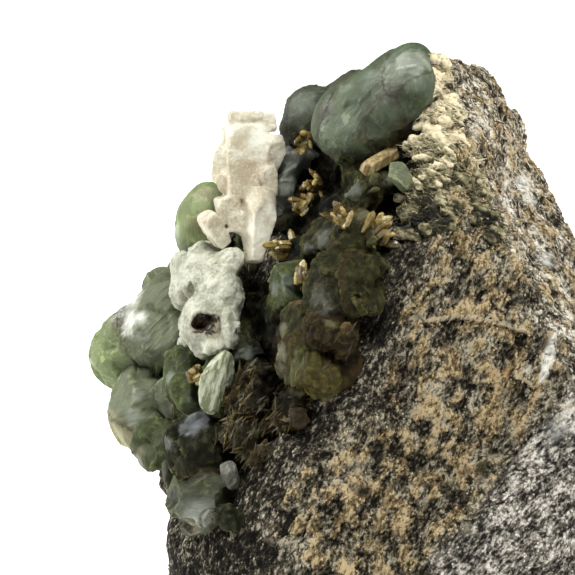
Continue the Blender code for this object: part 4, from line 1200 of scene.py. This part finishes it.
# Where they lie: (x, y, z), reach, tone, share
WHITE_TINTS = (
    # The bone patches on the column's body, teeth and the icing's left are painted shade with a beige tint, the
    # snow patches on the cap and tail are painted light, and the shadow patches on the icing's lower right are
    # painted shade
    ((-3.6, 4.6, 51.0), 1.3, "brown", 0.8), ((-4.6, 4.6, 49.9), 3.4, "shaded_bone", 0.85),
    ((-6.0, 3.5, 46.6), 1.9, "shaded_bone", 0.7), ((-6.8, 6.0, 51.0), 1.2, "ivory", 0.7),
    ((-2.8, 2.3, 46.0), 1.2, "ivory", 0.25), ((-4.4, 6.3, 56.2), 1.6, "ivory", 0.3),
    ((-3.2, 6.0, 54.6), 1.7, "lit_snow", 0.8), ((-2.2, 2.6, 44.6), 2.6, "lit_snow", 0.6),
    ((-5.3, 2.2, 40.5), 1.4, "olive", 0.7), ((-9.9, 3.0, 38.4), 1.2, "shaded_bone", 0.6),
    ((-11.0, 4.0, 40.2), 1.3, "clear", 0.6), ((-6.0, 0.2, 37.2), 1.1, "shadow", 0.7),
    ((-7.7, 0.0, 34.0), 1.2, "shadow", 0.6),
)
BLOCK_ROUND = 1.5  # how far the ball that rounds a block's corners reaches past its sides


def block_of(centre, sizes, turns, narrow):
    """A crystal block with blunt corners, narrower below."""
    flats = []
    for axis in range(3):
        for side in (-1, 1):
            way = Vector((0, 0, 0))
            way[axis] = side
            if axis < 2:
                way.z = -narrow
            flats.append((way, 1 / BLOCK_ROUND))
    return lump_of(centre, np.array(sizes) / 2 * BLOCK_ROUND, turns, flats, BLOCK_SEAM)


def white_finish(name, pale, deep):
    material, tree, shader = surface_of(name, 0.5, 0.35)
    place = in_mm(tree)
    cloud, speck = speckle(place, 0.6, 4.0), speckle(place, 4.0)
    colour = blend(between(0.5 * speck + cloud, 0.58, 0.92), pale, deep)
    colour = with_stains_and_painted_light(colour, between(speck, 0.35, 0.6, 0.45, 1.0))
    rust = blend(between(speckle(place, 1.6, 4.0, 0.7), 0.46, 0.56), *PIT_COLOURS)
    feed(shader, Base_Color=blend(own(tree, "pit") * between(speck, 0.3, 0.5, 0.7, 1.0), colour, rust))
    lit_within(shader, 0.25, (1.0, 0.9, 0.7), 0.6)
    bump(shader, 3.0 * cloud + speck, 0.08)
    return material


column = joined("white_column_crystals", [block_of(*block) for block in COLUMN_BLOCKS.values()], WHITE_STEP)
chance = random.Random(77)
bodies = [
    lump_of(on_wall(*spot), radii, (0, tilt, 0), any_flats(seed, flats), ICING_SEAM)
    for seed, (spot, radii, tilt, flats) in enumerate(ICING_LUMPS.values(), 50)
]
chips = []
for _ in range(ICING_CHIPS):
    body = chance.choice(bodies)
    way = Vector((chance.uniform(-1, 1), chance.uniform(-1, -0.3), chance.uniform(-0.8, 1))).normalized()
    chip = chance.uniform(*CHIP_RADIUS) * np.array([1.0, 1.0, chance.uniform(1.2, 2.0)])
    turns = (*(chance.uniform(*span) for span in CHIP_TURNS), 0)
    centre = body.centre + CHIP_OUT * np.array(way) * body.radii
    chips.append(lump_of(centre, chip, turns, prism_flats(chance), CHIP_SEAM))
hollows = [lump_of(on_wall(*spot), radii, seam=HOLLOW_SEAM) for spot, radii in HOLLOWS]
icing = joined("white_icing_lumps", bodies + chips, WHITE_STEP, hollows)
for white, cad_node, swell, relief, both in (
    (column, "white_column", 1.3, 0.4, WHITE_TONES), (icing, "white_icing", 0.9, 0.9, ICING_TONES),
):
    cut_away(white, "host_rock", ROCK_BITE)
    spots = places(white.data)
    give(white.data, "stain_and_painted_light", stains_and_painted_light_of(spots, WHITE_TINTS, WHITE_STAIN_AND_LIGHT_TONES))
    in_pit = np.min([depth_in(pit, spots - pit.centre) for pit in hollows[:PIT_HOLLOWS]], axis=0)
    give(white.data, "pit", fade(0.0, 0.35, in_pit))
    grow(white, gentle, {"Swell Width": swell, "Swell Height": relief, "Tip Height": 0.0})
    dress(white, white_finish(white.name, *both))
    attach(white, "root")
    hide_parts(cad_node)


# ==== Cream druse ====
# A granular cream crust along the arris beside the crest: low lumps with dark olive gaps, deepened by painted
# shade, and many small pointed splinters lying on them, most along one way.

# Each patch: (x, y, z), spread, lumps
CREAM_PATCHES = (
    ((15.0, 0.2, 62.0), 0.9, 31), ((15.3, -1.4, 59.8), 1.1, 34), ((15.0, -2.4, 57.4), 1.3, 41),
    ((14.4, -4.0, 54.6), 1.2, 34), ((16.0, -4.2, 54.8), 1.6, 44),
    ((15.6, -6.6, 51.6), 2.2, 61), ((12.8, -7.4, 51.2), 1.6, 41), ((12.6, -8.8, 48.8), 1.4, 31),
    ((17.6, -5.0, 51.4), 1.3, 27), ((15.2, -8.6, 49.0), 1.3, 24), ((18.6, -6.2, 49.2), 1.2, 27),
    ((19.6, -7.4, 47.4), 0.9, 17),
)
CREAM_RADIUS = (0.22, 0.42)
CREAM_ASPECT = (2.2, 4.4)
CREAM_TURNS = ((-35, 35), (85, 145))
CREAM_SEAM = 0.2
CREAM_LIFT = 0.1
CREAM_STEP = 0.17
CREAM_RELIEF = {
    "Grain Width": 0.45, "Grain Height": 0.9, "Clump Width": 1.1,
    "Clump Height": 0.3, "Swell Width": 1.6, "Swell Height": 0.5,
}
CREAM_TONES = ((0.0, (0.004, 0.004, 0.002)), (0.3, (0.03, 0.027, 0.011)), (0.6, (0.19, 0.168, 0.085)),
               (1.0, (0.66, 0.58, 0.39)))
SPLINTER_TILT = 115.0
# Splinters for each square millimetre, width, length, seed, lean, how far they stray
CREAM_SPLINTERS = (11.0, 0.16, 1.45, 21, SPLINTER_TILT, 0.9)


def cream_finish():
    material, tree, shader = surface_of("cream_druse", 0.7, 0.3)
    place = in_mm(tree)
    fibre = speckle(leant(place, -math.radians(SPLINTER_TILT)) * (1.0, 1.0, 0.35), 3.0, 4.0)
    # The tone rises with the relief's height: painted shade in the gaps and painted light on the lump tops. It is
    # also paler towards the top
    tone = 1.2 * speckle(place, 0.6, 2.0) + own(tree, "tone_shift") + 1.3 * fibre + 1.1 * own(tree, "rise")
    tone = tone + between(along_axis(place, 2), 48.0, 59.0, -0.1, 0.6) - 0.95
    feed(shader, Base_Color=tones(tone, CREAM_TONES))
    lit_within(shader, 0.15, (1.0, 0.8, 0.4), 0.5)
    bump(shader, fibre, 0.12)
    return material


chance = random.Random(5)
cream_lumps = []
for number, (middle, spread, count) in enumerate(CREAM_PATCHES, 2):
    for lump in range(count):
        aim = vector(middle) + Vector([chance.uniform(-1, 1) for _ in range(3)]) * spread * MM
        found = [tree.find_nearest(aim) for tree in (rock_tree, crust_tree)]
        spot, facing, _, _ = min(found, key=lambda nearest: nearest[3])
        radius = chance.uniform(*CREAM_RADIUS)
        radii = [radius, radius, radius * chance.uniform(*CREAM_ASPECT)]
        spot = spot / MM - CENTRING + facing * CREAM_LIFT
        turns = (*(chance.uniform(*span) for span in CREAM_TURNS), 0)
        cream_lumps.append(lump_of(spot, radii, turns, any_flats(100 * number + lump, 8), CREAM_SEAM))
druse = joined("cream_druse_grains", cream_lumps, CREAM_STEP)
give(druse.data, "relief", np.ones(len(druse.data.vertices)))
give(druse.data, "grainy", ease(-0.2, 0.3, -facings(druse.data)[:, 1]))
cream_look = cream_finish()
splinters = strewn("cream_splinters", druse.data.copy(), *CREAM_SPLINTERS, cream_look)
every_point = np.ones(len(druse.data.vertices))
give(druse.data, "lean", -math.radians(SPLINTER_TILT) * every_point)
give(druse.data, "tan_zone", every_point)
give(druse.data, "tone_shift", -0.1 * every_point)
grow(druse, grainy, CREAM_RELIEF)
dress(druse, cream_look)
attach(druse, "root")
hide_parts("cream_druse")
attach(splinters, "root")


# ==== Epidote tufts ====
# Small sprays of flat, yellow-brown epidote blades that spread from one root, in the furrow and along the edges of
# the front bosses. They are glossy and pass a little light.

# Each tuft: (x, y, z), blade length
TUFTS = {
    "upper": ((1.8, 6.0, 54.0), 1.8),
    "middle": ((2.7, 3.7, 49.8), 1.7),
    "shadow": ((1.5, 2.5, 47.8), 1.6),
    "column_foot": ((-1.0, 1.2, 43.6), 1.9),
    "front_top": ((5.2, -9.0, 48.4), 1.9),
    "front_side": ((8.5, -9.3, 48.2), 1.8),
    "front_edge": ((10.6, -9.7, 48.2), 1.8),
    "front_notch": ((1.6, -6.6, 42.2), 1.8),
    "flank": ((-9.1, -1.3, 31.1), 1.7),
}
BLADES = 14
BLADE_LENGTH = (0.45, 1.0)  # as shares of the tuft's own
BLADE_WIDTH, BLADE_THICKNESS = (0.2, 0.34), (0.13, 0.22)  # half of each, as shares of the blade's length
BLADE_STRAY = 0.7
ROOT_SPREAD = 0.8
BLADE_SHIFT = 0.35  # how much darker or paler a blade can be
EPIDOTE_TONES = ((0.0, (0.05, 0.03, 0.006)), (0.5, (0.21, 0.15, 0.04)), (1.0, (0.50, 0.42, 0.18)))


def blade_of(root, way, length, width, thickness, turn):
    """The points and faces of a flat blade with a chisel tip."""
    turned = way.to_track_quat("Z", "Y").to_matrix() @ Matrix.Rotation(turn, 3, "Z")
    points = []
    for share, swell in ((-0.1, 0.7), (0.35, 1.0), (0.8, 0.85), (1.0, 0.25)):
        for across, deep in ((-1, 0), (-0.45, 1), (0.45, 1), (1, 0), (0.45, -1), (-0.45, -1)):
            spoke = Vector((across * width * swell, deep * thickness * swell, length * share)) * MM
            points.append(root + turned @ spoke)
    faces = [list(range(5, -1, -1)), list(range(18, 24))]
    for ring in range(3):
        for side in range(6):
            after = (side + 1) % 6
            faces.append([6 * ring + side, 6 * ring + after, 6 * ring + 6 + after, 6 * ring + 6 + side])
    return points, faces


def epidote_finish():
    material, tree, shader = surface_of("epidote", 0.25, 0.6)
    fibre = speckle(in_mm(tree), 2.6, 4.0, 0.65)
    feed(shader, Base_Color=tones(1.1 * fibre + own(tree, "tone_shift") - 0.15, EPIDOTE_TONES))
    lit_within(shader, 0.4, (1.0, 0.7, 0.25), 0.6)
    bump(shader, fibre, 0.06)
    return material


epidote_look = epidote_finish()
for seed, (name, (middle, length)) in enumerate(TUFTS.items(), 300):
    chance = random.Random(seed)
    spot, facing, _, _ = crust_tree.find_nearest(vector(middle))
    points, faces, shifts = [], [], []
    for _ in range(BLADES):
        way = (facing + Vector([chance.uniform(-BLADE_STRAY, BLADE_STRAY) for _ in range(3)])).normalized()
        root = spot + Vector([chance.uniform(-ROOT_SPREAD, ROOT_SPREAD) for _ in range(3)]) * MM
        size = length * chance.uniform(*BLADE_LENGTH)
        width, thickness = size * chance.uniform(*BLADE_WIDTH), size * chance.uniform(*BLADE_THICKNESS)
        made, own_faces = blade_of(root, way, size, width, thickness, chance.uniform(0, math.pi))
        faces += [[len(points) + i for i in face] for face in own_faces]
        points += made
        shifts += [chance.uniform(-BLADE_SHIFT, BLADE_SHIFT)] * len(made)
    tuft = piece_of(f"epidote_spray_{name}", points, faces)
    give(tuft.data, "tone_shift", np.array(shifts))
    tuft.data.materials.append(epidote_look)
    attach(tuft, "root")
    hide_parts(f"epidote_tuft_{name}")


# ==== Single crystals ====
# A tan prism under the crest, a short grey prism near the foot and a pale bladed crystal between the lower bosses,
# each with fine grooves along it.

TAN_PRISM = ((10.8, -2.0, 54.2), (7.3, -5.0, 52.6), 0.75)
GREY_PRISM = ((-5.4, -11.6, 22.8), (-5.8, -13.6, 25.4), 0.75)
PALE_BLADE = ((-6.9, -6.8, 31.9), (1.8, 1.3, 3.3), (4, 14, 20))
BLADE_FLATS = (((-0.5, -0.86, 0.05), 0.5), ((0.7, -0.7, 0.1), 0.48), ((-0.1, -0.9, 0.4), 0.62),
               ((-0.7, 0.0, 0.7), 0.74), ((0.8, 0.0, -0.6), 0.74))
PRISM_ROUND = 1.5  # how far the ball that rounds a prism's corners reaches past its sides
SINGLE_STEP = 0.09
SINGLE_RELIEF = {"Swell Width": 0.7, "Swell Height": 0.3, "Tip Height": 0.0}
STRIAE_LEAN = 16.0


def single_finish(name, pale, deep):
    material, tree, shader = surface_of(name, 0.5, 0.5)
    along = leant(in_mm(tree), math.radians(-STRIAE_LEAN)) * (1.0, 1.0, 0.25)
    speck = speckle(along, 2.4, 4.0, 0.65)
    feed(shader, Base_Color=blend(between(speck, 0.38, 0.62), deep, pale))
    lit_within(shader, 0.3, (1.0, 0.9, 0.6), 0.5)
    bump(shader, speck, 0.08)
    return material


def prism_of(root, tip, radius):
    """A six-sided crystal with blunt ends, cut from a ball that reaches past its corners."""
    root, tip = Vector(root), Vector(tip)
    half = (tip - root).length / 2
    turns = [math.degrees(angle) for angle in (tip - root).to_track_quat("Z", "Y").to_euler()]
    flats = [(Vector((math.cos(side), math.sin(side), 0)), 1 / PRISM_ROUND) for side in np.arange(6) * math.pi / 3]
    flats += [(Vector((0.3 * math.cos(side), 0.3 * math.sin(side), end)), 1.06 / PRISM_ROUND)
              for side in np.arange(3) * math.pi / 1.5 for end in (-1, 1)]
    radii = np.array((radius, radius, half)) * PRISM_ROUND
    return lump_of((root + tip) / 2, radii, turns, flats)


singles = (
    ("tan_crystal", "tan_prism", prism_of(*TAN_PRISM), (0.37, 0.29, 0.13), (0.15, 0.10, 0.035)),
    ("grey_crystal", "grey_prism", prism_of(*GREY_PRISM), (0.15, 0.15, 0.12), (0.055, 0.055, 0.042)),
    ("pale_crystal", "pale_blade", lump_of(*PALE_BLADE, BLADE_FLATS), (0.42, 0.45, 0.32), (0.13, 0.145, 0.07)),
)
for slot, cad_node, shape, pale, deep in singles:
    single = joined(slot, [shape], SINGLE_STEP)
    grow(single, gentle, SINGLE_RELIEF)
    dress(single, single_finish(slot, pale, deep))
    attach(single, "root")
    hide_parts(cad_node)


# ==== Studio ====
# A plain pale floor, a white room, and soft light from above and from behind. The camera looks along +Y, a little
# down.

CAMERA_DROP = 12.0  # degrees that the camera looks down
CAMERA_REACH = 300.0
CAMERA_AIM = (0.0, 0.0, 40.0)
FRAME_WIDTH = 57.5  # width that the frame takes in at the aim
SENSOR = 36.0
FLOOR_SIZE = 4000.0
FLOOR_TONES = ((0.93, 0.93, 0.93), (0.95, 0.95, 0.95))
# How far behind the rock the floor begins and ends to brighten, and its brightness there
FLOOR_GLOW = (20.0, 250.0, 0.45, 1.1)
# Brightness of the room towards the viewer, added above and added behind
ROOM_FRONT, ROOM_ABOVE, ROOM_BEHIND = 0.09, 0.75, 0.35

corners = [Vector((a, b, 0)) * FLOOR_SIZE / 2 * MM for a, b in ((-1, -1), (1, -1), (1, 1), (-1, 1))]
floor = piece_of("floor", corners, [(0, 1, 2, 3)])
floor_look, tree, shader = surface_of("floor", 0.9, 0.1)
place = in_mm(tree)
feed(
    shader, Base_Color=blend(speckle(place, 0.02, 2.0), *FLOOR_TONES),
    Emission_Strength=between(along_axis(place, 1), *FLOOR_GLOW),
)
shader.inputs["Emission Color"].default_value = (1.0, 1.0, 1.0, 1.0)
floor.data.materials.append(floor_look)

aim = vector(CAMERA_AIM)
drop = math.radians(CAMERA_DROP)
forward = Vector((0, math.cos(drop), -math.sin(drop)))
camera = put("camera", bpy.data.cameras.new("camera"))
camera.data.sensor_width = SENSOR
camera.data.lens = SENSOR * CAMERA_REACH / FRAME_WIDTH
camera.data.clip_start = 10 * MM
camera.location = aim - forward * CAMERA_REACH * MM
camera.rotation_euler = forward.to_track_quat("-Z", "Y").to_euler()
bpy.context.scene.camera = camera

room = bpy.data.worlds.new("room")
room.use_nodes = True
way = node(room.node_tree, "ShaderNodeTexCoord", {}, "Generated")
glow = between(along_axis(way, 2), -0.1, 0.9, ROOM_FRONT, ROOM_ABOVE)
feed(room.node_tree.nodes["Background"], Strength=glow + between(along_axis(way, 1), -0.4, 0.8, 0.0, ROOM_BEHIND))
bpy.context.scene.world = room
bpy.context.scene.view_settings.view_transform = "Standard"

# Each light: (place in millimetres from the aim, width, power in watts)
LIGHTS = {
    "above": ((10.0, -140.0, 270.0), 120.0, 1.15),
    "left": ((-260.0, 60.0, 150.0), 150.0, 1.0),
    "right": ((240.0, -20.0, 160.0), 160.0, 0.5),
}
for name, (place, width, power) in LIGHTS.items():
    light = bpy.data.lights.new(name, "AREA")
    light.size = width * MM
    light.energy = power
    lamp = put(name, light)
    lamp.location = aim + Vector(place) * MM
    lamp.rotation_euler = (aim - lamp.location).to_track_quat("-Z", "Y").to_euler()
